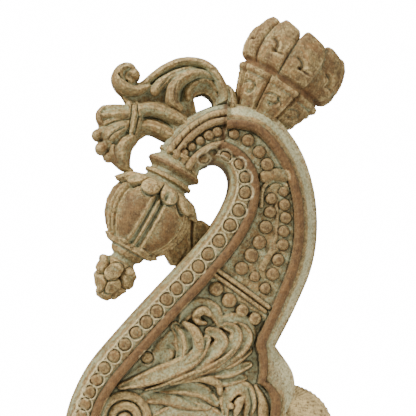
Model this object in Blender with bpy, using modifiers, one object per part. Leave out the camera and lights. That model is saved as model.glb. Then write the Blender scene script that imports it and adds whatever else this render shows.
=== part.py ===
"""Carved wooden bracket: a swan-necked strut with a crown of leaves and a hanging bud.

The bracket is two blocks of wood. The crowned neck is the strut with its crown, and the bud arm is the
end of the arch with the bud, the flower and the curled leaf. They meet at a joint across the arch.
The carving is laid out on the face grid: columns to the right and rows down, GRID metres apart, read off
the photograph's 416 x 416 frame. Depths, mouldings and gaps are real sizes in metres.
X is to the right, Z is up and the carved face looks along -Y. The origin is on the sawn base.
"""

import math

import bmesh
import bpy
from mathutils import Matrix, Vector

# Sizes in metres
HEIGHT = 0.654
FACE_HALF_DEPTH = 0.048
EDGE_HALF_DEPTH = 0.026
PANEL_SINK = 0.005
LEAF_SINK = 0.009
RIM_RADIUS = 0.0066
BEAD_RISE = 0.0045
BEAD_ROOT = 0.006
ROSETTE_RISE = 0.010
VOLUTE_RISE = 0.0085
RIB_RISE = 0.0022
JOINT_GAP = 0.0004
SEAT_GAP = 0.0006
OVERLAP = 0.004
ARM_HALF_DEPTH = 0.036
ARM_END_HALF_DEPTH = 0.029
CROWN_HALF_DEPTH = 0.052
BUD_HALF_DEPTH = 0.054
SEAT_BLOCK_FRONT = -0.010
SEAT_BLOCK_BACK = 0.026
LEAF_WEB_FRONT = -0.016
LEAF_WEB_BACK = 0.022
LOBE_SET_FORWARD = 0.012
FLOWER_WEB_HALF_DEPTH = 0.013
FLOWER_LOBE_HALF_DEPTH = 0.022
STEM_RING_HALF_DEPTH = 0.031
SCROLL_HALF_DEPTH = 0.040

# The face grid
TOP_ROW = 20
BASE_ROW = 456
BASE_COLUMN = 190
GRID = HEIGHT / (BASE_ROW - TOP_ROW)

# The neck's two edges, from left of the joint over the arch and down past the base, in matching stations.
# The inner edge is (column, row, distance in to the rim), the outer edge (column, row, width of bevel).
INNER_EDGE = [(200, 167, 20), (215, 163.8, 19.5), (224.5, 169.5, 22), (229, 183, 26.5), (224, 202, 29.5),
              (208, 229, 30), (180, 262, 30), (150, 294, 30), (119, 328, 30.5), (91, 361.5, 30),
              (75, 391.5, 28), (67, 418, 29), (66, 438, 30), (70, 456, 28), (78, 476, 28)]
OUTER_EDGE = [(210, 109, 12), (240, 106, 12.5), (270, 115.5, 12), (297, 147.5, 11.5), (311.5, 188, 10),
              (315, 230, 10), (309, 268.5, 10), (292, 308.5, 9), (273, 345, 7), (290, 371, 26),
              (292, 397, 12), (290, 421, 11), (288, 440, 12), (286, 456, 14), (284, 476, 14)]
SHOULDER = 8
INNER_BEVEL = 7.6
OUTER_RIM_SETBACK = 4.6
CROSS_ROW = 276

# Rows of beads as (edge, first and last station, first and last distance in, count, first and last radius)
STRING = ("inner", 1.15, 12.7, 10, 16, 24, 5.6, 5.8)
STRING_BULGE = 0.35
PANEL_ROWS = [("outer", 0.97, 3.35, 28.5, 34.5, 4, 5.5, 6.6),
              ("outer", 4.0, 6.8, 28, 34, 8, 5.2, 5.9),
              ("inner", 3.8, 5.3, 46, 49, 6, 5.8, 6.9)]
ARM_BEADS = ((217, 131, 4.2), (185, 152, 4.2), 5)
ROSETTES = ((216, 289, 7), (255, 317.5, 6.5), 4)
BEAD_SIDES = 7

# Carved strokes as (points, greatest half-width)
CROSS_BARS = [([(221, 271), (243, 287), (268, 306)], 1.9), ([(216, 276), (238, 292), (263, 311)], 1.5)]
HOOD = ([(265, 188), (271, 181), (278, 178), (287, 182)], 2.6)
SPINE = ([(272, 236), (268, 250), (262, 266)], 1.6)
LEAVES = [
    ([(120, 384), (160, 373), (202, 360), (229, 339), (224, 327)], 6.5),
    ([(146, 388), (175, 376), (205, 367), (228, 352), (236, 336)], 2.9),
    ([(218, 364), (238, 348), (244, 333), (231, 325)], 4.6),
    ([(190, 366), (207, 352), (216, 339), (206, 333)], 4.4),
    ([(180, 366), (195, 351), (194, 331), (173, 328)], 5.6),
    ([(178, 357), (185, 347), (178, 332)], 4.6),
    ([(160, 370), (175, 354), (163, 342)], 5),
    ([(138, 377), (156, 361), (145, 352), (143, 360)], 3.6),
    ([(186, 318), (197, 304), (218, 304), (226, 321)], 6.2),
    ([(197, 322), (205, 315), (213, 326)], 3),
    ([(214, 368), (235, 355), (250, 346)], 4.7),
    ([(208, 372), (229, 366), (250, 361)], 4.3),
    ([(226, 377), (238, 374), (249, 369)], 3.3),
    ([(150, 392), (185, 380), (217, 382), (217, 394)], 5),
    ([(166, 392), (186, 398), (208, 399)], 6.2),
    ([(150, 402), (168, 412), (195, 413), (216, 408)], 6),
    ([(224, 404), (232, 389), (248, 390), (251, 407), (240, 417)], 4.6),
    ([(258, 391), (265, 409), (262, 432)], 2.8),
    ([(150, 424), (180, 440), (220, 437), (246, 436)], 5.4),
]
LEAF_DEPTH = 1.45
LEAF_SHAPE = [0.42, 0.85, 1.0, 0.9, 0.42]
EVEN_SHAPE = [1.0, 1.0]
VOLUTE = (126, 415, 19, 4.4)
VOLUTE_BOSS = 11
VOLUTE_TURN = 0.86
BERRY = (238, 403, 7)

# The crown about its own axis: profile as (distance along, radius), leaves as (along, radius, half-width)
CROWN_FOOT = (259, 117)
CROWN_TILT = math.radians(32.6)
CROWN_PROFILE = [(-9, 27), (4, 30), (10, 34.5), (21, 39), (36, 45), (40, 42), (44, 42), (50, 46.5),
                 (66, 47), (78, 41), (86, 26)]
CROWN_RADIUS = 51
CROWN_LEAVES = 11
CROWN_TURN = math.radians(6)
CROWN_LEAF = [(44, 44, 13.5), (52, 49, 14), (68, 51.5, 13.5), (80, 49.5, 12.5), (88, 46, 9), (94, 40, 4)]
CROWN_LEAF_SECTION = [(-1, -10), (-1, 0), (-0.5, 4), (0.5, 4), (1, 0), (1, -10)]
CALYX_LEAVES = 8
CALYX_LEAF = [(-8, 26, 10), (11, 33, 13), (26, 39.5, 16), (34, 42.5, 14), (38, 43.5, 8)]
CALYX_LEAF_SECTION = [(-1, -7), (-0.7, 2.6), (0.7, 2.6), (1, -7), (0, -14)]

# The bud about its own axis, which runs down to the left
BUD_TOP = (180, 158)
BUD_TILT = math.radians(29)
COLLAR_PROFILE = [(-7, 14), (-3, 20), (-1.5, 23.5), (1.5, 23.5), (3, 21), (5.5, 22), (12, 28.5),
                  (15.5, 28), (19, 22), (22.5, 22), (23.5, 25.5), (27, 25.5), (29, 22), (34, 26), (42, 34)]
BUD_PROFILE = [(31, 20), (39, 33), (50, 40), (61, 43), (72, 42.5), (85, 38), (96, 30), (105, 20), (111, 11)]
BUD_RADIUS = 43
BUD_RIBS = 10
FINIAL_PROFILE = [(99, 8), (104, 16), (108.5, 17.5), (112, 15.5), (115, 11.5), (118, 12), (120, 15.5),
                  (123.5, 15.5), (126, 11), (136, 10), (147, 8), (150, 10), (155, 9.5), (160, 4)]
SEPALS = 10
SEPAL = (31, 41, (9.4, 6, 12.5), math.radians(-24))
FLORET_PETALS = 7
FLORET_PETAL = (14, 137, (8.2, 6, 11), math.radians(-32))
TURNED_SIDES = 16

# The rest of the bud arm
ARCH = [((224, 164), (236, 107)), ((211, 164), (225, 107)), ((204, 167), (213, 107)),
        ((196, 171), (190, 117)), ((190, 172), (163, 149))]
ARM_RIMS = [([(224, 119), (211, 122), (198, 130), (187, 139.5), (178.5, 150)], 4),
            ([(220, 144), (209, 147.5), (199, 154), (191, 161.5)], 3.6)]
ARM_RIM_DEPTH = 1.6
CURLED_LEAF = ([(219, 104), (217, 84), (203, 67), (184, 63), (163, 70), (145, 84), (130, 90),
                (118.5, 80), (125, 71), (133, 76)], 6.2)
CURLED_LEAF_DEPTH = 3.6
LEAF_LOBES = [([(204, 72), (184, 72.5), (165, 81), (155, 92)], 6.6),
              ([(209, 79), (188, 78), (172, 92), (178, 107)], 7.6),
              ([(215, 90), (202, 82), (189, 90), (187, 99)], 5.4)]
LOBE_DEPTH = 2.6
LEAF_WEB = [(118, 93), (134, 84), (148, 84), (160, 72), (178, 63), (198, 65), (213, 76), (222, 92),
            (222, 112), (213, 114), (213, 103), (203, 93.5), (193, 99), (196, 113), (182, 124), (150, 112),
            (125, 103)]
STEM = ([(186, 140), (165, 125), (146, 118), (127, 122)], 18)
STEM_DEPTH = 1.6
STEM_LEAF = ([(184, 122), (168, 114), (150, 109), (130, 110)], 7.5)
STEM_LEAF_DEPTH = 2.2
STEM_SHAPE = [0.6, 0.88, 1.0, 0.75]
STEM_RING = (132, 121, 6.5, 17, math.radians(12))
FLOWER_WEB = [(134, 104), (120, 107), (101, 108), (97, 118), (102, 128), (95, 134), (95, 144), (102, 158),
              (116, 162), (124, 169), (131, 172), (131, 160), (133, 150), (140, 140), (142, 122)]
FLOWER_PETALS = [([(128, 114), (114, 114), (101, 120)], 8.5), ([(129, 126), (118, 132), (107, 142)], 10),
                 ([(130, 136), (123, 152), (125, 164)], 8.5)]
FLOWER_LOBES = [(97, 136, 5.6), (101, 149.5, 6.6), (108.5, 157, 5.8)]
FLOWER_DEPTH = 2.0

# The joint across the arch, the block behind the bud and the scroll at the foot
JOINT_LINE = [(238, 58), (227, 97), (224, 118), (222.5, 140), (209, 165), (203, 176)]
JOINT_REACH = 40
SEAT_STATIONS = (5, 6)
SEAT_FAR_SIDE = [(171, 265), (165, 256), (160, 236), (178, 216), (192, 220.5), (201, 220.5)]
SCROLL = (286, 431, 47.6)

NECK_WOOD = (0.43, 0.32, 0.20, 1.0)
ARM_WOOD = (0.47, 0.40, 0.28, 1.0)
ROUGHNESS = 0.8
SMOOTH_ANGLE = math.radians(35)


def clear_scene():
    for obj in list(bpy.data.objects):
        bpy.data.objects.remove(obj)


def collection(name):
    made = bpy.data.collections.new(name)
    bpy.context.scene.collection.children.link(made)
    return made


def material(name, colour):
    """A Principled finish in the wood's own colour."""
    made = bpy.data.materials.new(name)
    made.use_nodes = True
    shader = made.node_tree.nodes["Principled BSDF"]
    shader.inputs["Base Color"].default_value = colour
    shader.inputs["Roughness"].default_value = ROUGHNESS
    shader.inputs["Metallic"].default_value = 0.0
    return made


def place(column, row, y=0.0):
    """A point of the face grid, in metres."""
    return Vector(((column - BASE_COLUMN) * GRID, y, (BASE_ROW - row) * GRID))


def curve_point(points, u):
    """The smooth curve through the points, at a place counted in points from the first."""
    i = min(int(u), len(points) - 2)
    t = u - i
    before, after = points[max(i - 1, 0)], points[min(i + 2, len(points) - 1)]
    return tuple(0.5 * (2 * q + (r - p) * t + (2 * p - 5 * q + 4 * r - s) * t * t
                        + (3 * q - p - 3 * r + s) * t ** 3)
                 for p, q, r, s in zip(before, points[i], points[i + 1], after))


def smooth(points, steps=2):
    """Points along the smooth curve through the given ones."""
    return [curve_point(points, k / steps) for k in range((len(points) - 1) * steps + 1)]


def edge_point(edge, u):
    """A place on one of the neck's edges, its direction inwards, and the edge's third value there."""
    points, side = (INNER_EDGE, 1) if edge == "inner" else (OUTER_EDGE, -1)
    u = min(max(u, 0), len(points) - 1)
    # The outer edge turns sharply at the shoulder, so it is two curves that meet there.
    start = 0
    if edge == "outer":
        start = SHOULDER if u > SHOULDER else 0
        points = points[SHOULDER:] if u > SHOULDER else points[: SHOULDER + 1]
    column, row, value = curve_point(points, u - start)
    reach = 0.05
    a = curve_point(points, max(u - start - reach, 0))
    b = curve_point(points, min(u - start + reach, len(points) - 1))
    direction = Vector((b[0] - a[0], b[1] - a[1])).normalized()
    return Vector((column, row)), Vector((direction.y, -direction.x)) * side, value


def inset(edge, u, distance):
    """The place that lies a distance in from an edge of the neck, as (column, row)."""
    point, inwards, _ = edge_point(edge, u)
    return tuple(point + inwards * distance)


def bevel(edge, u):
    """How far the sloping side reaches in from an edge."""
    return INNER_BEVEL if edge == "inner" else edge_point(edge, u)[2]


def rim_line(edge):
    """The line under one rim, from the joint down past the base."""
    setback = (lambda u: edge_point(edge, u)[2]) if edge == "inner" else (
        lambda u: bevel(edge, u) + OUTER_RIM_SETBACK)
    return [inset(edge, u, setback(u)) for u in stations()]


def stations():
    """Places along the neck where its section is taken."""
    return [k / 2 for k in range(2 * len(INNER_EDGE) - 1)]


def shape_at(shape, share):
    """The value of an evenly spaced list at a share of its length."""
    place_in_list = share * (len(shape) - 1)
    i = min(int(place_in_list), len(shape) - 2)
    return shape[i] + (shape[i + 1] - shape[i]) * (place_in_list - i)


def link_mesh(name, bm, group):
    """A mesh object from bm, with its faces turned outwards."""
    bmesh.ops.recalc_face_normals(bm, faces=bm.faces)
    mesh = bpy.data.meshes.new(name)
    bm.to_mesh(mesh)
    bm.free()
    obj = bpy.data.objects.new(name, mesh)
    group.objects.link(obj)
    return obj


def loft(name, rings, group):
    """A closed solid through unlike rings that have the same number of points."""
    bm = bmesh.new()
    loops = [[bm.verts.new(point) for point in ring] for ring in rings]
    for one, two in zip(loops, loops[1:]):
        for k in range(len(one)):
            n = (k + 1) % len(one)
            bm.faces.new((one[k], one[n], two[n], two[k]))
    bm.faces.new(loops[0])
    bm.faces.new(reversed(loops[-1]))
    return link_mesh(name, bm, group)


def to_mesh(obj, group):
    """The evaluated curve as a mesh object, with its caps welded."""
    bpy.context.view_layer.update()
    graph = bpy.context.evaluated_depsgraph_get()
    mesh = bpy.data.meshes.new_from_object(obj.evaluated_get(graph))
    mesh.transform(obj.matrix_world)
    bpy.data.objects.remove(obj)
    bm = bmesh.new()
    bm.from_mesh(mesh)
    bmesh.ops.remove_doubles(bm, verts=bm.verts, dist=1e-5)
    return link_mesh(mesh.name, bm, group)


def stroke(carving, y, depth, group, shape=LEAF_SHAPE, steps=1):
    """A tapering rounded bar along a carving's points. depth is its half-depth over its half-width."""
    points, belly = carving
    path = smooth(points, steps)
    curve = bpy.data.curves.new("stroke", "CURVE")
    curve.dimensions = "3D"
    curve.bevel_depth = GRID
    curve.bevel_resolution = 1
    curve.use_fill_caps = True
    line = curve.splines.new("POLY")
    line.points.add(len(path) - 1)
    for k, (point, (column, row)) in enumerate(zip(line.points, path)):
        point.co = (*place(column, row), 1)
        point.radius = belly * shape_at(shape, k / (len(path) - 1))
    obj = bpy.data.objects.new("stroke", curve)
    obj.location.y = y
    obj.scale.y = depth
    group.objects.link(obj)
    return to_mesh(obj, group)


def slab(outline, near, far, group):
    """A flat outline of the face grid with a thickness, from near to far along Y."""
    curve = bpy.data.curves.new("slab", "CURVE")
    curve.dimensions = "2D"
    curve.fill_mode = "BOTH"
    curve.extrude = (far - near) / 2
    line = curve.splines.new("POLY")
    line.points.add(len(outline) - 1)
    line.use_cyclic_u = True
    for point, (column, row) in zip(line.points, outline):
        x, _, z = place(column, row)
        point.co = (x, z, 0, 1)
    obj = bpy.data.objects.new("slab", curve)
    obj.location.y = (near + far) / 2
    obj.rotation_euler.x = math.pi / 2
    group.objects.link(obj)
    return to_mesh(obj, group)


def bead(column, row, radius, level, group):
    """A round stud with sloping sides, standing BEAD_RISE out of the level it sits on."""
    length = BEAD_RISE + BEAD_ROOT
    bm = bmesh.new()
    bmesh.ops.create_cone(bm, cap_ends=True, segments=BEAD_SIDES, radius1=radius * GRID * 1.15,
                          radius2=radius * GRID * 0.8, depth=length)
    centre = place(column, row, level - BEAD_RISE + length / 2)
    bm.transform(Matrix.Translation(centre) @ Matrix.Rotation(math.pi / 2, 4, "X"))
    return link_mesh("bead", bm, group)


def ball(centre, sizes, group, turn=None, segments=8, rings=6):
    """A rounded lump with its own half-sizes along X, Y and Z before it is turned."""
    bm = bmesh.new()
    bmesh.ops.create_uvsphere(bm, u_segments=segments, v_segments=rings, radius=1)
    bm.transform(Matrix.Translation(centre) @ (turn or Matrix.Identity(4)) @ Matrix.Diagonal((*sizes, 1)))
    return link_mesh("ball", bm, group)


def tilted_frame(foot, tilt):
    """A frame at a point of the grid, with its Z axis leaning by tilt to the right of straight up."""
    return Matrix.Translation(place(*foot)) @ Matrix.Rotation(tilt, 4, "Y")


def turned(profile, frame, group, depth=1.0):
    """A turned shape from its profile in grid steps, flattened front to back by depth."""
    mesh = bpy.data.meshes.new("turned")
    rows = sorted(profile, reverse=True)
    points = [(0, 0, rows[0][0])] + [(radius, 0, along) for along, radius in rows] + [(0, 0, rows[-1][0])]
    mesh.from_pydata([Vector(p) * GRID for p in points], [(i, i + 1) for i in range(len(points) - 1)], [])
    obj = bpy.data.objects.new("turned", mesh)
    obj.matrix_world = frame @ Matrix.Diagonal((1, depth, 1, 1))
    screw = obj.modifiers.new("Turn", "SCREW")
    screw.steps = screw.render_steps = TURNED_SIDES
    screw.use_merge_vertices = True
    screw.merge_threshold = 0.00005
    group.objects.link(obj)
    return to_mesh(obj, group)


def boolean(target, pieces, operation, cutters):
    """Joins the pieces, clear of one another, to the target or cuts them from it, and applies that."""
    bm = bmesh.new()
    for piece in pieces:
        bm.from_mesh(piece.data)
        bpy.data.objects.remove(piece)
    tool = link_mesh(operation.lower(), bm, cutters)
    tool.hide_render = True
    tool.display_type = "WIRE"
    modifier = target.modifiers.new(operation.title(), "BOOLEAN")
    modifier.operation = operation
    modifier.object = tool
    # The exact solver leaves open edges where these many low curved shapes cross.
    modifier.solver = "MANIFOLD"
    bpy.context.view_layer.update()
    graph = bpy.context.evaluated_depsgraph_get()
    mesh = bpy.data.meshes.new_from_object(target.evaluated_get(graph))
    target.modifiers.clear()
    target.data = mesh
    bpy.data.objects.remove(tool)


def join(target, pieces, cutters):
    """Joins pieces that may cross one another to the target, one at a time."""
    for piece in pieces:
        boolean(target, [piece], "UNION", cutters)


def neck_block(group):
    """The strut's block: front and back faces with sloping sides between them."""
    rings = []
    for u in stations():
        inner, outer = inset("inner", u, 0), inset("outer", u, 0)
        face_inner, face_outer = (inset(edge, u, bevel(edge, u)) for edge in ("inner", "outer"))
        rings.append([place(*face_inner, -FACE_HALF_DEPTH), place(*face_outer, -FACE_HALF_DEPTH),
                      place(*outer, -EDGE_HALF_DEPTH), place(*outer, EDGE_HALF_DEPTH),
                      place(*face_outer, FACE_HALF_DEPTH), place(*face_inner, FACE_HALF_DEPTH),
                      place(*inner, EDGE_HALF_DEPTH), place(*inner, -EDGE_HALF_DEPTH)])
    return loft("crowned_neck", rings, group)


def panel_cutter(side, group):
    """The sunk field between the rims of one face, deeper below the cross bars."""
    over = side * (FACE_HALF_DEPTH + OVERLAP)
    rings = []
    for a, b in zip(rim_line("inner"), rim_line("outer")):
        floor = side * (FACE_HALF_DEPTH - (LEAF_SINK if a[1] > CROSS_ROW else PANEL_SINK))
        rings.append([place(*a, over), place(*b, over), place(*b, floor), place(*a, floor)])
    return loft("panel", rings, group)


def rims(group):
    """Half-round mouldings that frame the panel on the front."""
    return [stroke((rim_line(edge), RIM_RADIUS / GRID), -FACE_HALF_DEPTH, 1.0, group, EVEN_SHAPE)
            for edge in ("inner", "outer")]


def bead_row(row, bulge=0.0):
    """Beads along an edge of the neck as (column, row, radius). A bulge spaces the first ones wider."""
    edge, first, last, near, far, count, small, large = row
    found = []
    for k in range(count):
        share = k / (count - 1)
        u = first + (last - first) * share + bulge * math.sin(math.pi * share)
        distance = near + (far - near) * min(1, share * count / 4) if edge == "inner" and bulge else (
            near + (far - near) * share)
        found.append((*inset(edge, u, distance), small + (large - small) * share))
    return found


def even_row(row):
    """Studs evenly spaced between two others, as (column, row, radius)."""
    first, last, count = row
    return [tuple(a + (b - a) * k / (count - 1) for a, b in zip(first, last)) for k in range(count)]


def lapped_leaf(sections, profile, index, count, frame, group):
    """One of the leaves round the crown, following its oval plan."""
    angle = 2 * math.pi * index / count + CROWN_TURN
    flat = CROWN_HALF_DEPTH / (CROWN_RADIUS * GRID)
    tangent = Vector((math.cos(angle), math.sin(angle) * flat, 0)).normalized()
    outward = Vector((tangent.y, -tangent.x, 0))
    rings = []
    for along, radius, half in sections:
        centre = Vector((radius * math.sin(angle), -radius * math.cos(angle) * flat, along))
        rings.append([frame @ ((centre + tangent * across * half + outward * out) * GRID)
                      for across, out in profile])
    return loft("crown_leaf", rings, group)


def crown(group):
    """The crown's core and its two tiers of leaves."""
    frame = tilted_frame(CROWN_FOOT, CROWN_TILT)
    core = turned(CROWN_PROFILE, frame, group, CROWN_HALF_DEPTH / (CROWN_RADIUS * GRID))
    leaves = [lapped_leaf(CROWN_LEAF, CROWN_LEAF_SECTION, k, CROWN_LEAVES, frame, group)
              for k in range(CROWN_LEAVES)]
    leaves += [lapped_leaf(CALYX_LEAF, CALYX_LEAF_SECTION, k + 0.5, CALYX_LEAVES, frame, group)
               for k in range(CALYX_LEAVES)]
    return [core, *leaves]


def volute(level, group):
    """The scroll in the panel's lower corner: a broken ring round a boss."""
    column, row, radius, band = VOLUTE
    turns = [2 * math.pi * VOLUTE_TURN * k / 12 for k in range(13)]
    path = [(column + radius * math.cos(turn), row + radius * math.sin(turn)) for turn in turns]
    boss = ball(place(column, row, level), (VOLUTE_BOSS * GRID, VOLUTE_RISE, VOLUTE_BOSS * GRID), group)
    return [stroke((path, band), level, 1.1, group, EVEN_SHAPE), boss]


def foliage(group):
    """The leaves, berries and volute of the lower panel."""
    level = LEAF_SINK - FACE_HALF_DEPTH
    leaves = [stroke(leaf, level, LEAF_DEPTH, group) for leaf in LEAVES]
    studs = [ball(place(column, row, level), (radius * GRID, ROSETTE_RISE, radius * GRID), group)
             for column, row, radius in [*even_row(ROSETTES), BERRY]]
    return leaves + volute(level, group) + studs


def crowned_neck(group, cutters):
    """The strut in one block of wood with its crown and the scroll at its foot."""
    body = neck_block(group)
    boolean(body, [panel_cutter(side, cutters) for side in (-1, 1)], "DIFFERENCE", cutters)
    join(body, rims(cutters) + crown(cutters), cutters)
    shallow = PANEL_SINK - FACE_HALF_DEPTH
    join(body, [stroke(bar, shallow, 2.8, cutters, EVEN_SHAPE) for bar in CROSS_BARS], cutters)
    join(body, [stroke(bar, shallow, 2.8, cutters) for bar in (HOOD, SPINE)], cutters)
    join(body, foliage(cutters), cutters)
    beads = [bead(*spot, shallow, cutters) for row in PANEL_ROWS for spot in bead_row(row)]
    beads += [bead(*spot, -FACE_HALF_DEPTH, cutters) for spot in bead_row(STRING, STRING_BULGE)]
    boolean(body, beads, "UNION", cutters)
    column, row, radius = SCROLL
    scroll = ball(place(column, row), (radius * GRID, SCROLL_HALF_DEPTH, radius * GRID), cutters,
                  segments=14, rings=10)
    boolean(body, [scroll], "UNION", cutters)
    boolean(body, [saw(cutters)], "DIFFERENCE", cutters)
    boolean(body, [joint_cutter(-1, cutters)], "DIFFERENCE", cutters)
    return body


def saw(group):
    """Everything below the base, a block wider than the bracket."""
    bm = bmesh.new()
    bmesh.ops.create_cube(bm, size=HEIGHT * 2)
    bm.transform(Matrix.Translation((0, 0, -HEIGHT)))
    return link_mesh("saw", bm, group)


def joint_cutter(side, group):
    """What lies past the joint across the arch, on its left for -1 and on its right for 1."""
    gap = -side * JOINT_GAP / 2 / GRID
    edge = [(column + gap, row) for column, row in JOINT_LINE]
    beyond = [(column + side * JOINT_REACH, row) for column, row in reversed(JOINT_LINE)]
    reach = FACE_HALF_DEPTH + RIM_RADIUS + OVERLAP
    return slab(edge + beyond, -reach, reach, group)


def seat_block(group):
    """The block behind the bud, which ends SEAT_GAP short of the neck's inner edge."""
    first, last = SEAT_STATIONS
    side = [inset("inner", u, -SEAT_GAP / GRID) for u in stations() if first <= u <= last]
    return slab(side + SEAT_FAR_SIDE, SEAT_BLOCK_FRONT, SEAT_BLOCK_BACK, group)


def arm_half_depth(share):
    """The arch's half-depth at a share of the way from the joint to the collar."""
    return FACE_HALF_DEPTH + (ARM_HALF_DEPTH - FACE_HALF_DEPTH) * share


def arch(group):
    """The arch beyond the joint, narrowing to the collar."""
    rings = []
    for k, (inner, outer) in enumerate(ARCH):
        face = ARM_END_HALF_DEPTH if k == len(ARCH) - 1 else arm_half_depth(k / (len(ARCH) - 1))
        edge = face * EDGE_HALF_DEPTH / FACE_HALF_DEPTH
        a, b = Vector(inner), Vector(outer)
        face_a, face_b = a.lerp(b, 0.10), a.lerp(b, 0.82)
        rings.append([place(*face_a, -face), place(*face_b, -face), place(*b, -edge), place(*b, edge),
                      place(*face_b, face), place(*face_a, face), place(*a, edge), place(*a, -edge)])
    return loft("bud_arm", rings, group)


def bud(frame, group):
    """The bud, with ribs that run from the collar to the finial."""
    sides = BUD_RIBS * 3
    flat = BUD_HALF_DEPTH / (BUD_RADIUS * GRID)
    rings = []
    for along, radius in BUD_PROFILE:
        ring = []
        for k in range(sides):
            angle = 2 * math.pi * k / sides
            lift = RIB_RISE if k % 3 == 0 else -RIB_RISE / 2
            r = radius * GRID + lift * radius / BUD_RADIUS
            ring.append(frame @ Vector((r * math.sin(angle), -r * math.cos(angle) * flat, along * GRID)))
        rings.append(ring)
    return loft("bud", rings, group)


def ring_of_petals(petal, count, half_step, flat, frame, group):
    """Rounded petals set round the bud's axis and tilted away from it."""
    radius, along, sizes, tilt = petal
    made = []
    for k in range(count):
        angle = 2 * math.pi * (k + half_step) / count
        spot = Vector((radius * math.sin(angle), -radius * flat * math.cos(angle), along)) * GRID
        turn = frame.to_3x3().to_4x4() @ Matrix.Rotation(angle, 4, "Z") @ Matrix.Rotation(tilt, 4, "X")
        made.append(ball(frame @ spot, [size * GRID for size in sizes], group, turn, segments=6, rings=6))
    return made


def curled_leaf(group):
    """The leaf that springs from the joint, arches over and ends in a curl, with its lobes."""
    web = slab(LEAF_WEB, LEAF_WEB_FRONT, LEAF_WEB_BACK, group)
    leaf = stroke(CURLED_LEAF, 0, CURLED_LEAF_DEPTH, group, EVEN_SHAPE, steps=2)
    lobes = [stroke(lobe, -LOBE_SET_FORWARD, LOBE_DEPTH, group, steps=2) for lobe in LEAF_LOBES]
    return [web, leaf, *lobes]


def flower(group):
    """The stem that leaves the arch, its ring, and the drooping flower that reaches the bud."""
    stem = stroke(STEM, 0, STEM_DEPTH, group, STEM_SHAPE, steps=2)
    sheath = stroke(STEM_LEAF, 0, STEM_LEAF_DEPTH, group, EVEN_SHAPE)
    column, row, across, along, tilt = STEM_RING
    ring = ball(place(column, row), (across * GRID, STEM_RING_HALF_DEPTH, along * GRID), group,
                Matrix.Rotation(tilt, 4, "Y"))
    web = slab(FLOWER_WEB, -FLOWER_WEB_HALF_DEPTH, FLOWER_WEB_HALF_DEPTH, group)
    petals = [stroke(petal, 0, FLOWER_DEPTH, group, steps=2) for petal in FLOWER_PETALS]
    lobes = [ball(place(c, r), (radius * GRID, FLOWER_LOBE_HALF_DEPTH, radius * GRID), group)
             for c, r, radius in FLOWER_LOBES]
    return [stem, web, sheath, ring, *petals, *lobes]


def bud_arm(group, cutters):
    """The second block of wood, from the joint across the arch to the bud."""
    body = arch(group)
    frame = tilted_frame(BUD_TOP, math.pi + BUD_TILT)
    flat = BUD_HALF_DEPTH / (BUD_RADIUS * GRID)
    join(body, curled_leaf(cutters) + flower(cutters), cutters)
    join(body, [turned(COLLAR_PROFILE, frame, cutters), bud(frame, cutters)], cutters)
    join(body, [turned(FINIAL_PROFILE, frame, cutters)], cutters)
    join(body, ring_of_petals(SEPAL, SEPALS, 0.5, flat, frame, cutters), cutters)
    join(body, ring_of_petals(FLORET_PETAL, FLORET_PETALS, 0, 1, frame, cutters), cutters)
    join(body, [seat_block(cutters)], cutters)
    middle = -arm_half_depth(0.5)
    join(body, [stroke(rim, middle, ARM_RIM_DEPTH, cutters, EVEN_SHAPE) for rim in ARM_RIMS], cutters)
    studs = even_row(ARM_BEADS)
    boolean(body, [bead(*spot, -arm_half_depth((k + 1) / len(studs)), cutters)
                   for k, spot in enumerate(studs)], "UNION", cutters)
    boolean(body, [joint_cutter(1, cutters)], "DIFFERENCE", cutters)
    return body


def main():
    clear_scene()
    parts = collection("carved_bracket")
    cutters = collection("cutters")
    cutters.hide_render = True
    neck = crowned_neck(parts, cutters)
    neck.data.materials.append(material("neck_wood", NECK_WOOD))
    arm = bud_arm(parts, cutters)
    arm.data.materials.append(material("arm_wood", ARM_WOOD))
    for obj in (neck, arm):
        obj.data.shade_smooth()
        obj.data.set_sharp_from_angle(angle=SMOOTH_ANGLE)


main()
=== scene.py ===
"""Looks of a swan-necked carved wooden bracket: its relief, its wood and what is left of its paint.

Places are on the face grid, columns to the right and rows down, GRID metres apart. Depths of the carving
and widths are in grid steps too, unless a name says otherwise. The carved face looks along -Y.
"""

import math

import bpy
import numpy as np
from mathutils import Matrix, Vector


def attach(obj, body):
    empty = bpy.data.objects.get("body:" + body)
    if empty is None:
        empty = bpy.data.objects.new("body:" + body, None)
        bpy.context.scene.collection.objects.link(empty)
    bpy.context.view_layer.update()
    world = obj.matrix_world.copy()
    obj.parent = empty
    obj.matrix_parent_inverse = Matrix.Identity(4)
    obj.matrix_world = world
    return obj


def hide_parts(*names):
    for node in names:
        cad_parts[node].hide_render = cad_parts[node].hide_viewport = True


bl_info = {
    "name": "Carved Bracket",
    "version": (1, 0, 0),
    "blender": (4, 5, 0),
    "location": "3D View > Sidebar > Bracket",
    "description": "Models a swan-necked carved wooden bracket over its solids",
    "category": "Object",
}

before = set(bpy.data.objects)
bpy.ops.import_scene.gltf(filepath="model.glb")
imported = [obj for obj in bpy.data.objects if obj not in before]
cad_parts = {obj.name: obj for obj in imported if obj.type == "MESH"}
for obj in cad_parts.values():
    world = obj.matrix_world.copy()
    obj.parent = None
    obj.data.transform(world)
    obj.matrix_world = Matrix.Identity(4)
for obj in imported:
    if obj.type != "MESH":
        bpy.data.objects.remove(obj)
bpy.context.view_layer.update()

# The face grid: its step in metres, and the row and column of the middle of the base
GRID = 0.0015
BASE_ROW = 456
BASE_COLUMN = 190
# The most triangles that a piece may have, the voxels that pieces are fused with, and how many faces go
# round and along the turned ones
MOST_TRIANGLES = 190000
MOST_FOLIAGE = 170000
MOST_SCROLL = 70000
FOLIAGE_VOXEL = 0.0012
SEAT_VOXEL = 0.0014
CROWN_FACES = (400, 230)
BUD_FACES = (300, 310)
SCROLL_FACES = (260, 150)
# The angle from which an edge is shown sharp
SHARP = math.radians(50)

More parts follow.
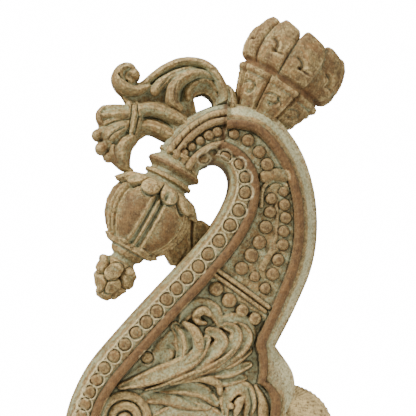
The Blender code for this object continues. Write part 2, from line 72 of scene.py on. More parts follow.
# The photograph: its width and its middle, where it was taken from, and how far that moves a point aside
# and up for each step of its depth
VIEW_WIDTH = 416
MIDDLE = 208
AZIMUTH = math.radians(-5)
ELEVATION = math.radians(-4)
DISTANCE = 2.0
LOOK_FROM = 1333
LOOK_ASIDE = 0.087
LOOK_UP = 0.07

# The stage: sizes in metres, lights as (name, place, size, power), and the strength of the white round it,
# as light and as seen
FLOOR_SIZE = 1.3
FLOOR_DROP = 0.0005
LIGHTS = [("key", (-1.6, -1.1, 1.9), 0.6, 112), ("fill", (1.7, -1.5, 0.8), 1.2, 30),
          ("top", (0.3, -0.2, 2.3), 0.8, 28)]
ROOM_LIGHT = 0.38
BACKDROP_LIGHT = 16.0
SENSOR = 36

# The neck's section: half its depth at the face and at the edges, distances in from its edges, and how far
# its parts lie below the face
FACE = 32.0
EDGE = 17.3
INNER_BEVEL = 7.4
FINE_RIDGE = 8.2
BAND_FROM = 9
INNER_RIM = 4.7
OUTER_RIM = 4.6
BAND_SUNK = 1.1
PANEL_SUNK = 4.2
LEAVES_SUNK = 5.4
BACK_BEVEL = 10
BACK_SUNK = 3.3

# The parts of the face grid that hold the neck and the arch, as (columns, rows), and half the arch's depth
NECK_PATCH = ((56, 326), (92, 462))
ARCH_PATCH = ((150, 240), (88, 185))
ARCH_FACE = 26

# The neck's edges in matching stations: (column, row, distance in to the rim) and (column, row, bevel)
INNER_EDGE = [(200, 167, 20), (215, 163.8, 19.5), (224.5, 169.5, 22), (229, 183, 26.5), (224, 202, 29.5),
              (208, 229, 30), (180, 262, 30), (150, 294, 30), (119, 328, 30.5), (91, 361.5, 30),
              (75, 391.5, 28), (67, 418, 29), (66, 438, 30), (70, 456, 28), (78, 476, 28)]
OUTER_EDGE = [(210, 109, 12), (240, 106, 12.5), (270, 115.5, 12), (297, 147.5, 11.5), (311.5, 188, 10),
              (315, 230, 10), (309, 268.5, 10), (292, 308.5, 9), (273, 345, 7), (290, 371, 26),
              (292, 397, 12), (290, 421, 11), (288, 440, 12), (286, 456, 14), (284, 476, 14)]
# The station at which the outer edge turns sharply
SHOULDER = 8
STATION_STEPS = 6
# The joint across the arch, where it meets the lower edge, and half its gap
JOINT_LINE = [(238, 58), (227, 97), (224, 118), (222.5, 140), (209, 165), (203, 176)]
JOINT_FOOT = (209, 165)
JOINT_STEPS = 12
JOINT_GAP = 0.03

# Strung studs on the left band as (column, row, radius)
STRING = [(225.5, 156.5, 5), (239, 164, 5), (245, 177, 5.5), (245.5, 192, 6), (239, 210, 6.3),
          (230, 225, 6), (219, 241, 6.2), (208, 254, 6), (198.5, 266.5, 6), (187, 277.5, 6),
          (176.5, 288.5, 6), (167, 299, 6), (157, 311, 6), (146.5, 321.5, 6), (136.5, 332, 5.8),
          (125.5, 343.5, 5.8), (115, 355, 5.8), (105.5, 366.5, 5.7), (98, 378, 5.6), (91, 390, 5.6),
          (86.5, 401.5, 5.6), (83, 413, 5.6), (81.5, 425, 5.6), (82, 437, 5.6), (84, 449, 5.6)]
# Studs on the sunk panel
PANEL_STUDS = [(234.5, 133, 5.2), (249, 139, 6), (260.5, 150.5, 6.2), (268.5, 163.5, 6.4),
               (272, 198, 5.6), (271, 211.5, 5.8), (266.5, 226.5, 6.3), (260, 242, 6.8), (252, 255, 7),
               (242, 268, 6.6), (285, 191, 4.8), (286, 204, 5.6), (287, 217.5, 5.6), (285, 231, 5.6),
               (284, 244.5, 5.8), (279, 259.5, 6), (273.5, 274, 6.4), (266, 288, 5.4), (255.5, 276.5, 5)]
ROSETTES = [(217, 288.5, 7), (230, 300, 7.2), (243, 310, 6.4), (256, 318.5, 6.4)]
# The arch's own studs, and those of its lower edge
ARM_STUDS = [(217, 131.5, 5), (208.5, 134.5, 5.3), (200, 140, 4.6), (191.5, 146, 4.5), (184.5, 152, 4.4)]
ARM_STRING = [(213, 154, 4.6), (203.5, 159, 4.6)]
# The arch's edges and its sunk panel, its half depth at three columns, and its rims as (points, half-width,
# rise, depth below its face, ruddy) with the nicks across the top one
ARCH_TOP = [(236, 100), (225, 104), (213, 107), (203, 110.5), (193, 115), (183, 122), (172, 134), (161, 147)]
ARCH_LOW = [(222, 164), (209, 165.5), (204, 167), (199, 171), (196, 178), (186, 177)]
ARCH_PANEL = [(226, 122), (205, 128), (190, 138), (178, 152), (190, 160), (205, 150), (226, 142)]
ARCH_AT = [163, 190, 224]
ARCH_DEPTH = [19.5, 24.5, 32]
ARCH_BACK = [19.5, 24.5, 31.5]
ARCH_RIMS = [
    ([(228, 112), (214, 114.5), (202, 120), (190, 128), (178, 140), (170, 150)], 3.2, 3, 1.6, 0.3),
    ([(226, 120), (212, 122.5), (200, 129), (190, 137), (182, 147), (176, 156)], 3.6, 4, 1.4, 0.55),
    ([(224, 143.5), (211, 146.5), (200, 153), (193, 160), (188, 168)], 3.4, 4, 1.6, 0.5),
]
ARCH_NICKS = [(219, 112), (208, 116), (198, 121.5), (189, 128), (181, 136), (175, 144)]

# Leaves of the lower panel as (points, half-width, rise, flutes, lift), from the deepest layer up
LEAVES = [
    ([(150, 424), (180, 440), (220, 437), (250, 430)], 11, 6, 2, 0),
    ([(110, 440), (135, 448), (165, 452)], 9, 5, 1, 0),
    ([(257, 386), (263, 400), (264, 420), (258, 440)], 5.5, 6, 0, 0),
    ([(156, 416), (180, 409), (208, 412), (228, 426)], 10, 6, 1, 0),
    ([(140, 398), (165, 392), (186, 398), (207, 404)], 12, 5, 1, 0),
    ([(156, 388), (180, 386), (202, 390), (217, 402)], 8, 6, 1, 0.5),
    ([(172, 383), (194, 376), (210, 378), (219, 384), (221, 392)], 5.5, 6, 0, 2.5),
    ([(226, 414), (226, 399), (236, 387), (247, 390), (251, 403), (247, 418)], 8, 7, 1, 1),
    ([(236, 414), (239, 402), (244, 396)], 5, 6, 0, 3),
    ([(198, 376), (222, 380), (245, 377)], 6.5, 5, 1, 0),
    ([(204, 373), (228, 371), (250, 364)], 6.5, 6, 1, 1.5),
    ([(210, 368), (232, 360), (250, 350)], 6.5, 6, 1, 2.5),
    ([(126, 382), (150, 374), (174, 366)], 13, 4, 1, 0),
    ([(156, 368), (162, 356), (168, 345), (172, 335)], 11, 5, 1, 0),
    ([(178, 364), (185, 351), (183, 335), (176, 326)], 10, 6, 2, 1.5),
    ([(182, 366), (196, 355), (199, 343), (195, 331), (185, 323)], 6, 7.5, 0, 3),
    ([(181, 324), (187, 313), (200, 306), (214, 310), (221, 323)], 8.5, 6, 1, 0.5),
    ([(206, 323), (199, 321), (197, 314), (204, 310), (212, 315)], 4.8, 6, 0, 2.5),
    ([(212, 328), (228, 320), (243, 321), (251, 333), (249, 348)], 7.5, 5, 1, 0),
    ([(176, 374), (208, 367), (233, 354), (246, 341), (246, 331), (237, 325)], 8, 7, 1, 2),
    ([(163, 377), (200, 368), (225, 352), (236, 339), (235, 330), (227, 326)], 8.4, 7, 1, 2.8),
    ([(148, 380), (182, 370), (208, 355), (221, 343), (219, 335), (210, 331)], 9, 7, 1, 3.6),
    ([(122, 385), (152, 376), (183, 364), (199, 352), (207, 339)], 9, 7, 1, 4.5),
    ([(146, 388.5), (162, 384), (186, 374), (206, 367), (224, 357), (233, 349)], 2.5, 4, 0, 6),
]
# The listed rise that the panel's leaf rise stands for
MAIN_RISE = 7
# The leaves' width from end to end, as a share of the full one
LEAF_SHAPE = [0.35, 0.75, 1.0, 1.0, 0.85, 0.5]
# Grooves in those leaves as (points, half-width, depth)
LEAF_PITS = [([(160, 389), (188, 386), (212, 391)], 4, 3), ([(192, 340), (196, 350)], 3, 2.4),
             ([(168, 345), (173, 347), (176, 352)], 2.4, 3.2), ([(197, 317), (203, 319)], 2.2, 4),
             ([(150, 393), (168, 388), (192, 378), (216, 371), (238, 358)], 1.6, 2.4),
             ([(178, 393), (190, 401), (197, 405)], 1.5, 2.4), ([(249, 388), (252, 402), (250, 414)], 1.6, 3),
             ([(216, 384), (212, 394), (216, 404)], 1.5, 2)]
# Rings of the panel's volute as (column, row, radius, degrees more than a part turn)
VOLUTE = [(126, 416, 22, 20), (126, 417, 13, 10)]

# Curled leaf, stem and flower as (points, half-widths, how far forward, depth over half-width)
LEAF_ROLLS = [
    ([(227, 88), (230, 93), (231, 100), (231, 107)], [4.4, 5.2, 6, 7], 1, 3),
    ([(224, 112), (223, 92), (214, 74.5), (203, 65.5), (190, 62.5), (176, 64), (163, 70), (152, 78),
      (143, 85.5), (134, 90)], [5.5, 6, 6.2, 6.4, 6, 5.6, 5.2, 4.8, 4.4, 4], 0, 3.4),
    ([(148, 88), (136, 92.5), (124, 90), (117.5, 81), (120.5, 72), (128.5, 69.5), (134, 76)],
     [4, 6, 7.6, 7.4, 6.4, 6, 5], 2, 3.4),
    ([(133, 76), (127, 75), (125, 80), (129, 83)], [7, 6, 6, 6], 0.5, 3.2),
    ([(206, 70), (190, 70), (172, 77), (160, 85), (154, 92)], [3.5, 5, 6, 6.4, 6], 5, 2.4),
    ([(212, 77), (198, 74.5), (183, 79), (173, 89), (171, 102), (178, 109)],
     [4, 5.5, 6.6, 7, 6.8, 4.6], 8, 2.4),
    ([(216, 90), (207, 81), (195, 83), (187.5, 91), (187, 99)], [3.4, 4.4, 5, 5, 4], 3, 2.6),
    ([(219, 112), (217, 98), (209, 86), (199, 84.5)], [4.5, 4, 3.6, 3], -4, 3.6),
]
STEM_ROLLS = [
    ([(190, 128), (172, 117), (152, 110.5), (132, 111.5)], [7, 8.6, 8.4, 8], 3, 2.0),
    ([(186, 146), (168, 135), (150, 127), (134, 129.5)], [8, 9, 9, 8.5], -2, 2.0),
    ([(196, 132), (178, 134), (160, 126)], [16, 15, 10], -3, 1.1),
    ([(129, 106), (134, 114), (133, 124), (131, 134)], [4.4, 5, 5, 4.4], 2, 3.8),
    ([(136, 105), (139, 115), (138, 126), (135, 137)], [3, 3.6, 3.6, 3], 2, 4.4),
    ([(133, 111.5), (118, 110.5), (104, 110.5)], [5.5, 5.2, 4.6], 3, 2.2),
    ([(133, 115), (117, 116.5), (101.5, 117)], [6.5, 7, 5.2], 5, 2.2),
    ([(132, 119), (117, 122.5), (103, 126.5)], [5.5, 6.8, 5.2], 3, 2.2),
    ([(103, 110), (99.5, 115), (99.5, 121), (102, 126.5)], [3.4, 4, 4, 3.4], 4, 3.2),
    ([(132, 124), (120, 129), (111, 136)], [6, 9, 10.4], 5, 1.8),
    ([(105, 127), (103, 136), (107.5, 144), (115, 147.5)], [2.6, 3, 3, 2.6], 7, 3.2),
    ([(131, 139), (123, 146), (121.5, 156), (125, 166)], [6.6, 8.4, 8, 4.6], 3, 2.2),
    ([(113, 147), (113, 155), (118, 161.5)], [4.6, 5, 4.4], 3, 2.6),
    ([(115, 161), (122, 167), (130, 171.5)], [4.4, 4.6, 3.6], 0, 2.6),
    ([(102, 134), (97.5, 136.5)], [6, 6.2], 0, 2.8), ([(107, 146), (101.5, 149.5)], [6, 7], 0, 2.6),
    ([(112, 156), (108.5, 157.5)], [5.4, 6], 0, 2.6),
]
# Cuts over those pieces as (points, half-width, depth)
LEAF_CUTS = [
    ([(222, 100), (215, 82), (203, 71), (190, 67.5), (176, 69), (162, 76), (151, 84)], 1.6, 2.2),
    ([(212, 72), (196, 69), (180, 73), (168, 79), (160, 88)], 1.3, 1.6),
    ([(216, 82), (203, 78), (190, 83), (182, 92), (180, 101)], 1.5, 2.4),
    ([(118, 78), (121, 82), (126, 84.5)], 1.1, 4.5),
    ([(176, 84), (173, 95), (176, 105)], 0.8, 1.4), ([(172, 84), (166, 92)], 0.8, 1.4),
    ([(163, 84), (157, 92)], 0.7, 1.2),
]
STEM_CUTS = [
    ([(172, 129), (161, 120.5), (148, 118.5), (138, 119)], 1.2, 2.6),
    ([(127, 122), (115, 124.5), (104, 129)], 1.1, 1.8),
    ([(125, 112), (112, 114.5), (101, 115)], 0.8, 1.2), ([(123, 130), (113, 136), (108, 142)], 0.9, 2.4),
    ([(127, 132), (118, 139), (112, 146)], 0.9, 2.6), ([(128, 145), (126, 155), (127, 163)], 0.7, 1.2),
    ([(131, 108), (130, 121), (128, 136)], 0.8, 3), ([(136.5, 107), (136.5, 122), (133, 136)], 0.7, 3),
]

# The plain wood behind the leaf and behind the flower, and the block behind the bud
LEAF_WEB = [
    (119, 92), (134, 84), (148, 82), (160, 74), (178, 65), (198, 67), (212, 78), (221, 94), (221, 112),
    (213, 114), (213, 103), (209, 96.5), (203, 93.5), (196, 95), (193, 99), (195, 108), (196, 113),
    (184, 122), (150, 112), (125, 103)]
STEM_WEB = [
    (134, 107), (120, 108), (103, 110), (99, 118), (103, 128), (98, 136), (98, 144), (104, 156), (117, 161),
    (125, 168), (130, 170), (130, 160), (132, 150), (139, 140), (150, 132), (142, 110)]
SEAT = [(171, 265), (165, 256), (160, 236), (178, 216), (192, 220.5), (201, 220.5), (210, 226), (209, 229),
        (194, 247), (178, 266)]
SEAT_ROUNDING = 0.004
SEAT_CUTS = [([(192, 219), (191, 236), (192, 252)], 1.4, 3), ([(176, 268), (186, 250)], 1.2, 1.4)]
# Where paint is left on the flower, and where it and the leaf are rubbed to red-brown wood
STEM_PAINTED = [[(124, 114), (106, 114)], [(122, 146), (123, 160)], [(164, 116), (142, 112)],
                [(124, 128), (114, 132)]]
STEM_RUBBED = [[(114, 150), (116, 162)], [(97, 112), (100, 126)], [(98, 132), (108, 157)]]
LEAF_RUBBED = [[(172, 92), (176, 106)], [(222, 84), (218, 96)]]
# The scroll at the foot: its middle, its radius and half its depth
SCROLL = (286, 431)
SCROLL_RADIUS = 47.4
SCROLL_DEPTH = 26.4

# The crown and the bud: axes, how flat they are from front to back, and profiles as (distance along the
# axis, radius), then how many leaves, lobes and florets go round, and at what share of one they start
CROWN_FOOT = (259, 117)
CROWN_TILT = math.radians(32.6)
CROWN_FLAT = 52 / 76.5
CROWN_PROFILE = [(-9, 0), (-9, 27), (4, 30), (10, 34.5), (21, 39), (32, 43.5), (35, 46), (37.5, 46),
                 (39.5, 43), (43.5, 41.5), (46, 46), (49, 48.5), (56, 51), (68, 52), (79, 50.5), (88, 47.5),
                 (94, 43), (94.5, 38), (86, 31), (80, 20), (78, 0)]
CROWN_LEAVES = 9
CROWN_START = 0.3125
CALYX_LEAVES = 8
CALYX_START = 0.391
BUD_TOP = (180, 158)
BUD_TILT = math.radians(29)
BUD_FLAT = 54 / 64.5
BUD_PROFILE = [(-7, 0), (-7, 14), (-4, 20), (-2, 23.2), (1.2, 23.4), (3, 20.5), (5, 21), (11.5, 28),
               (14.5, 28.4), (17, 25), (19.5, 21.5), (22, 21.5), (23.4, 25.2), (26.4, 25.4), (28.5, 21.5),
               (31, 23), (38, 32), (49, 39.6), (60, 43), (72, 42.6), (84, 38.4), (93, 32), (100, 25),
               (105, 19.5), (107, 17.5), (109, 17.6), (112, 16), (115, 12), (118, 12.5), (121, 16),
               (125, 15.5), (129, 13), (136, 14.5), (143, 14), (147, 11), (151, 9.5), (156, 9), (160, 6),
               (161, 0)]
BUD_LOBES = 6
LOBES_START = 0.067
SEPALS = 12
SEPALS_START = 0.93
CUP_LEAVES = 8
CUP_START = 0.12
FLORETS = 6
# The two rows of florets as (start, distance along the axis, size, half-length)
FLORET_ROWS = [(0.35, 131, 8.5, 10), (0.8, 146, 5, 9)]


# Working with meshes


def place(column, row, y=0.0):
    """A point of the face grid, in metres."""
    return Vector(((column - BASE_COLUMN) * GRID, y, (BASE_ROW - row) * GRID))


def on_grid(points):
    """Columns and rows of points in metres."""
    return points[:, 0] / GRID + BASE_COLUMN, BASE_ROW - points[:, 2] / GRID


def read_points(obj):
    points = np.empty(len(obj.data.vertices) * 3)
    obj.data.vertices.foreach_get("co", points)
    return points.reshape(-1, 3)


def write_points(obj, points):
    obj.data.vertices.foreach_set("co", points.ravel())
    obj.data.update()


def read_normals(obj):
    normals = np.empty(len(obj.data.vertices) * 3)
    obj.data.vertex_normals.foreach_get("vector", normals)
    return normals.reshape(-1, 3)


def alone(obj=None):
    """Leaves only this object selected and active."""
    for other in list(bpy.context.selected_objects):
        other.select_set(False)
    if obj:
        bpy.context.view_layer.objects.active = obj
        obj.select_set(True)


def added(name):
    obj = bpy.context.active_object
    obj.name = obj.data.name = name
    return obj


def edit(obj, *steps):
    """Runs edit-mode steps on the whole mesh. Each step is an operator and its arguments."""
    alone(obj)
    bpy.ops.object.mode_set(mode="EDIT")
    bpy.ops.mesh.select_all(action="SELECT")
    for operator, settings in steps:
        operator(**settings)
    bpy.ops.object.mode_set(mode="OBJECT")


def apply_modifier(obj, kind, **settings):
    alone(obj)
    modifier = obj.modifiers.new(kind.title(), kind)
    for key, value in settings.items():
        setattr(modifier, key, value)
    bpy.ops.object.modifier_apply(modifier=modifier.name)


def thin_out(obj, most=MOST_TRIANGLES, where=None):
    """Collapses flat areas until the mesh has at most this many triangles, only at the points where says."""
    obj.data.calc_loop_triangles()
    now = len(obj.data.loop_triangles)
    if now <= most:
        return
    names = {}
    if where is not None:
        names["vertex_group"] = obj.vertex_groups.new(name="plain").name
        obj.vertex_groups["plain"].add(np.nonzero(where)[0].tolist(), 1, "REPLACE")
    apply_modifier(obj, "DECIMATE", ratio=most / now, **names)


def smooth(points, steps=6):
    """A smooth curve through points, as an array."""
    p = np.array(points, float)
    if len(p) < 3:
        return p
    p = np.vstack([2 * p[0] - p[1], p, 2 * p[-1] - p[-2]])
    t = np.linspace(0, 1, steps, endpoint=False)[:, None]
    parts = [0.5 * (2 * b + (c - a) * t + (2 * a - 5 * b + 4 * c - d) * t**2 + (3 * b - a - 3 * c + d) * t**3)
             for a, b, c, d in zip(p, p[1:], p[2:], p[3:])]
    return np.vstack(parts + [p[-2:-1]])


def along(c, r, path):
    """Distance to a path, which side of it a place lies on, and how far along it that is."""
    best, side, share = np.full(c.shape, 1e9), np.zeros(c.shape), np.zeros(c.shape)
    steps = np.diff(path, axis=0)
    lengths = np.hypot(steps[:, 0], steps[:, 1])
    before = np.concatenate([[0], np.cumsum(lengths)])
    for k, (dc, dr) in enumerate(steps):
        u, v = c - path[k, 0], r - path[k, 1]
        t = np.clip((u * dc + v * dr) / (lengths[k] ** 2 + 1e-9), 0, 1)
        distance = np.hypot(u - t * dc, v - t * dr)
        nearer = distance < best
        best = np.where(nearer, distance, best)
        side = np.where(nearer, np.sign(dc * v - dr * u), side)
        share = np.where(nearer, (before[k] + t * lengths[k]) / before[-1], share)
    return best, side, share


def shaped(share, shape):
    """A value at each share of the way along, from values spread evenly over it."""
    return np.interp(share, np.linspace(0, 1, len(shape)), shape)


def blur(picture, radius):
    """A soft blur of a picture of heights."""
    for axis in (0, 1):
        for _ in range(2):
            width = max(int(radius), 1)
            padded = np.pad(picture, [(width + 1, width) if a == axis else (0, 0) for a in (0, 1)], "edge")
            total = np.cumsum(padded, axis=axis)
            n = picture.shape[axis]
            high = np.take(total, np.arange(2 * width + 1, 2 * width + 1 + n), axis=axis)
            low = np.take(total, np.arange(0, n), axis=axis)
            picture = (high - low) / (2 * width + 1)
    return picture


def wander(c, r, size, seed):
    """A gentle uneven field between about -1 and 1, for hand-cut surfaces."""
    chance = np.random.default_rng(seed)
    total = np.zeros(np.shape(c))
    for _ in range(7):
        angle, phase = chance.uniform(0, 2 * math.pi, 2)
        pace = 2 * math.pi / (size * chance.uniform(0.6, 1.7))
        total = total + np.sin((c * math.cos(angle) + r * math.sin(angle)) * pace + phase)
    return total / 4


def step(x, low, high):
    """A smooth step from 0 at low to 1 at high."""
    t = np.clip((x - low) / (high - low), 0, 1)
    return t * t * (3 - 2 * t)


def hump(x, width, middle=0.0):
    """1 at the middle, falling away softly on both sides of it."""
    return np.exp(-(((x - middle) / width) ** 2))


def round_axis(angle, count, start):
    """Which of count leaves round an axis each point is on, and its place across it from -1 to 1."""
    turns = angle / (2 * math.pi) * count + start
    return np.floor(turns), turns % 1 * 2 - 1


def in_steps(key):
    """One of the sizes that the panel sets, in grid steps."""
    return getattr(bpy.context.scene.bracket_sizes, key) / GRID


class Relief:
    """A carved face over a patch of the face grid, as a picture of heights above the middle plane."""

    def __init__(self, columns, rows, depth):
        self.depth = depth
        self.corner, self.pitch = (columns[0], rows[0]), in_steps("cell")
        self.c, self.r = np.meshgrid(np.arange(*columns, self.pitch), np.arange(*rows, self.pitch))
        for picture in ("height", "ruddy", "pale", "coat", "within"):
            setattr(self, picture, np.zeros(self.c.shape))
        self.calm = np.ones(self.c.shape)
        d, _, _ = along(self.c, self.r, smooth(JOINT_LINE))
        blots = 0.75 + 0.5 * wander(self.c, self.r, 6, 11)
        self.stain = np.clip(1.3 * blots, 0, 1) * hump(d, 3.2) * (self.r < 168)

    def patch(self, path, margin):
        low = (np.min(path, axis=0) - margin - self.corner) / self.pitch
        high = (np.max(path, axis=0) + margin - self.corner) / self.pitch
        low, high = np.maximum(low, 0).astype(int), np.maximum(high + 1, 0).astype(int)
        return np.s_[low[1]:high[1], low[0]:high[0]]

    def roll(self, points, width, rise, floor, flutes=0, shape=(1, 1), cut=1.4, ruddy=0.0, square=2.0,
             lean=0.0):
        """A rounded bar or leaf along points on the floor, with flutes along it and a crevice round it."""
        path = smooth(points)
        at = self.patch(path, width + 5)
        d, side, share = along(self.c[at], self.r[at], path)
        half = width * shaped(share, shape)
        x = np.minimum(d / half, 1)
        level = floor[at] if isinstance(floor, np.ndarray) else floor
        body = level + rise * (0.45 + 0.55 * shaped(share, shape)) * (1 - x**square) ** 0.5
        if flutes:
            wave = 0.5 - 0.5 * np.cos(math.pi * flutes * (side * x + 1))
            body -= rise * 0.6 * wave * (1 - x**6)
        body += lean * rise * side * x
        old = self.height[at]
        crevice = cut * hump(d, 1.5, half)
        self.height[at] = np.where(d < half, np.maximum(body, old - 0.5 * cut), old - crevice)
        shaded = ruddy + 2 * lean * step(side * x, 0.55, 0.85)
        self.ruddy[at] = np.where(d < half, shaded, self.ruddy[at])
        self.coat[at] = np.where(d < half, (flutes > 0) * (1 - x**2) * 0.9, self.coat[at])

    def groove(self, points, width, depth):
        path = smooth(points)
        at = self.patch(path, width * 3 + 2)
        d, _, _ = along(self.c[at], self.r[at], path)
        self.height[at] -= depth * hump(d, width)

    def stud(self, column, row, radius, rise, floor, ring=0.0, ruddy=0.5):
        """A worn round stud in its socket, with a fine ring round it where ring is above 0."""
        at = self.patch(np.array([(column, row)]), radius + 6)
        c, r = self.c[at] - column, self.r[at] - row
        uneven = 1 + 0.05 * wander(c + column * 7, r + row * 3, 14, int(column))
        d = np.hypot(c, r) * uneven
        level = floor[at] if isinstance(floor, np.ndarray) else floor
        x = np.minimum(d / radius, 1)
        body = level + rise * (1 - x**3.2) ** 0.5
        socket = 1.5 * hump(d - radius, 0.75, 0.3)
        rim = ring * hump(d - radius, 0.75, 1.9)
        raised = np.minimum(self.height[at] + rim, np.maximum(self.height[at], level + ring))
        self.height[at] = np.where(d < radius, body, raised - socket)
        self.ruddy[at] = np.where(d < radius, ruddy, self.ruddy[at])
        self.pale[at] = np.maximum(self.pale[at], (ring > 0) * hump(d - radius, 0.8, 1.9))

    def shades(self):
        """Pictures of the crevices, of the ridges and of the broad hollows, each from 0 to 1. The finish
        darkens the crevices and hollows as dirt and painted shade.
        """
        near, far = blur(self.height, 1.5 / self.pitch), blur(self.height, 7 / self.pitch)
        return (self.calm * np.clip((near - self.height) * 0.65 - 0.1, 0, 1),
                np.clip((self.height - near) * 1.5 - 0.05, 0, 1),
                self.calm * np.clip((far - self.height) * 0.26 + 0.12, 0, 1))

    def seen(self, c, r):
        """Where the photograph, which looks up at the face from the left, shows points of the face."""
        depth = self.depth * step(self.sample(self.within, c, r), -4, 12)
        near = 1 + depth / LOOK_FROM
        return (MIDDLE + (c - MIDDLE) * near + LOOK_ASIDE * depth,
                MIDDLE + (r - MIDDLE) * near - LOOK_UP * depth)

    def sample(self, picture, c, r):
        """The picture's values at places of the grid."""
        x = np.clip((c - self.corner[0]) / self.pitch, 0, picture.shape[1] - 1.001)
        y = np.clip((r - self.corner[1]) / self.pitch, 0, picture.shape[0] - 1.001)
        i, j = y.astype(int), x.astype(int)
        v, u = y - i, x - j
        top = picture[i, j] * (1 - u) + picture[i, j + 1] * u
        return top * (1 - v) + (picture[i + 1, j] * (1 - u) + picture[i + 1, j + 1] * u) * v


def inside(c, r, outline):
    """Whether each place lies inside an outline."""
    found = np.zeros(c.shape, bool)
    for (c0, r0), (c1, r1) in zip(outline, np.roll(outline, -1, axis=0)):
        if r0 != r1:
            crosses = (r0 > r) != (r1 > r)
            found ^= crosses & (c < (c1 - c0) * (r - r0) / (r1 - r0) + c0)
    return found


def trimmed_sheet(name, outline, pitch):
    """A flat sheet of fine square faces inside an outline, with its rim moved onto the outline."""
    low, high = outline.min(0) - pitch, outline.max(0) + pitch
    cells = np.ceil((high - low) / pitch).astype(int)
    alone()
    bpy.ops.mesh.primitive_grid_add(x_subdivisions=int(cells[0]), y_subdivisions=int(cells[1]), size=2)
    sheet = added(name)
    points = read_points(sheet)
    c = low[0] + (points[:, 0] + 1) / 2 * (high[0] - low[0])
    r = low[1] + (1 - points[:, 1]) / 2 * (high[1] - low[1])
    middles = np.empty(len(sheet.data.polygons) * 3)
    sheet.data.polygons.foreach_get("center", middles)
    middles = middles.reshape(-1, 3)
    kept = inside(low[0] + (middles[:, 0] + 1) / 2 * (high[0] - low[0]),
                  low[1] + (1 - middles[:, 1]) / 2 * (high[1] - low[1]), outline)
    sides = np.empty(len(sheet.data.loops), np.int32)
    sheet.data.loops.foreach_get("edge_index", sides)
    used = np.bincount(sides[np.repeat(kept, 4)], minlength=len(sheet.data.edges))
    ends = np.empty(len(sheet.data.edges) * 2, np.int32)
    sheet.data.edges.foreach_get("vertices", ends)
    rim = np.unique(ends.reshape(-1, 2)[used == 1])
    c[rim], r[rim] = nearest(c[rim], r[rim], np.vstack([outline, outline[:1]]))
    write_points(sheet, np.column_stack([(c - BASE_COLUMN) * GRID, np.full(len(c), -EDGE * GRID),
                                         (BASE_ROW - r) * GRID]))
    alone(sheet)
    sheet.data.polygons.foreach_set("select", ~kept)
    bpy.context.tool_settings.mesh_select_mode = (False, False, True)
    bpy.ops.object.mode_set(mode="EDIT")
    bpy.ops.mesh.delete(type="FACE")
    bpy.ops.object.mode_set(mode="OBJECT")
    bpy.context.tool_settings.mesh_select_mode = (True, False, False)
    return sheet


def nearest(c, r, closed):
    """The nearest places on a closed outline."""
    near = np.full(len(c), 1e9)
    to = np.zeros((len(c), 2))
    for (c0, r0), (c1, r1) in zip(closed, closed[1:]):
        length = (c1 - c0) ** 2 + (r1 - r0) ** 2 + 1e-9
        t = np.clip(((c - c0) * (c1 - c0) + (r - r0) * (r1 - r0)) / length, 0, 1)
        spot = np.column_stack([c0 + t * (c1 - c0), r0 + t * (r1 - r0)])
        distance = np.hypot(c - spot[:, 0], r - spot[:, 1])
        nearer = distance < near
        near = np.where(nearer, distance, near)
        to[nearer] = spot[nearer]
    return to.T


def carved_slab(name, outline, relief, back):
    """A block with a carved front: a fine sheet in the outline, given a thickness and then its heights."""
    slab = trimmed_sheet(name, np.array(outline), relief.pitch)
    edit(slab, (bpy.ops.mesh.extrude_region_move,
                {"TRANSFORM_OT_translate": {"value": (0, 2 * EDGE * GRID, 0)}}),
         (bpy.ops.mesh.select_all, {"action": "SELECT"}),
         (bpy.ops.mesh.normals_make_consistent, {"inside": False}))
    points = read_points(slab)
    c, r = on_grid(points)
    front = points[:, 1] < 0
    carved = -relief.sample(relief.height, *relief.seen(c, r))
    points[:, 1] = np.where(front, carved, back(c, r)) * GRID
    write_points(slab, points)
    thin_out(slab, where=~front)
    return slab


def fused(name, rolls, voxel, gather=()):
    """Rounded rolls of wood, each (points, half-widths, forward, depth), fused into one body."""
    made = list(gather)
    for points, widths, forward, depth in rolls:
        path = smooth(points)
        alone()
        bpy.ops.curve.primitive_nurbs_path_add()
        roll = added(name)
        roll.data.splines.clear()
        line = roll.data.splines.new("POLY")
        line.points.add(len(path) - 1)
        half = shaped(np.linspace(0, 1, len(path)), widths)
        for point, (column, row), size in zip(line.points, path, half):
            point.co = (*place(column, row), 1)
            point.radius = size
        roll.data.bevel_depth = GRID
        roll.data.bevel_resolution = 4
        roll.data.use_fill_caps = True
        roll.scale.y = depth
        roll.location.y = -forward * GRID
        alone(roll)
        bpy.ops.object.convert(target="MESH")
        bpy.ops.object.transform_apply(location=True, rotation=True, scale=True)
        ends = [(path[0], half[0]), (path[-1], half[-1])]
        made.append(bpy.context.active_object)
        for (column, row), size in ends:
            alone()
            bpy.ops.mesh.primitive_uv_sphere_add(segments=20, ring_count=12, radius=1)
            knob = added(name)
            knob.scale = (size * GRID * 0.98, size * GRID * depth * 0.98, size * GRID * 0.98)
            knob.location = place(column, row, -forward * GRID)
            bpy.ops.object.transform_apply(location=True, rotation=True, scale=True)
            made.append(knob)
    alone(made[0])
    for piece in made:
        piece.select_set(True)
    bpy.ops.object.join()
    body = added(name)
    apply_modifier(body, "REMESH", mode="VOXEL", voxel_size=voxel)
    apply_modifier(body, "SMOOTH", factor=0.5, iterations=3)
    return body


def cut_lines(obj, lines, uneven=0.25):
    """Cuts grooves into what faces forward, and leaves the marks of the tool on the rest."""
    points, normals = read_points(obj), read_normals(obj)
    c, r = on_grid(points)
    facing = np.clip(-normals[:, 1], 0, 1)
    down = np.zeros(len(points))
    for line, width, depth in lines:
        d, _, _ = along(c, r, smooth(line))
        down += depth * hump(d, width)
    points[:, 1] += down * facing * GRID
    rough = wander(c + points[:, 1] / GRID, r - points[:, 1] / GRID, 9, 5)
    points += normals * (rough * uneven * GRID)[:, None]
    write_points(obj, points)


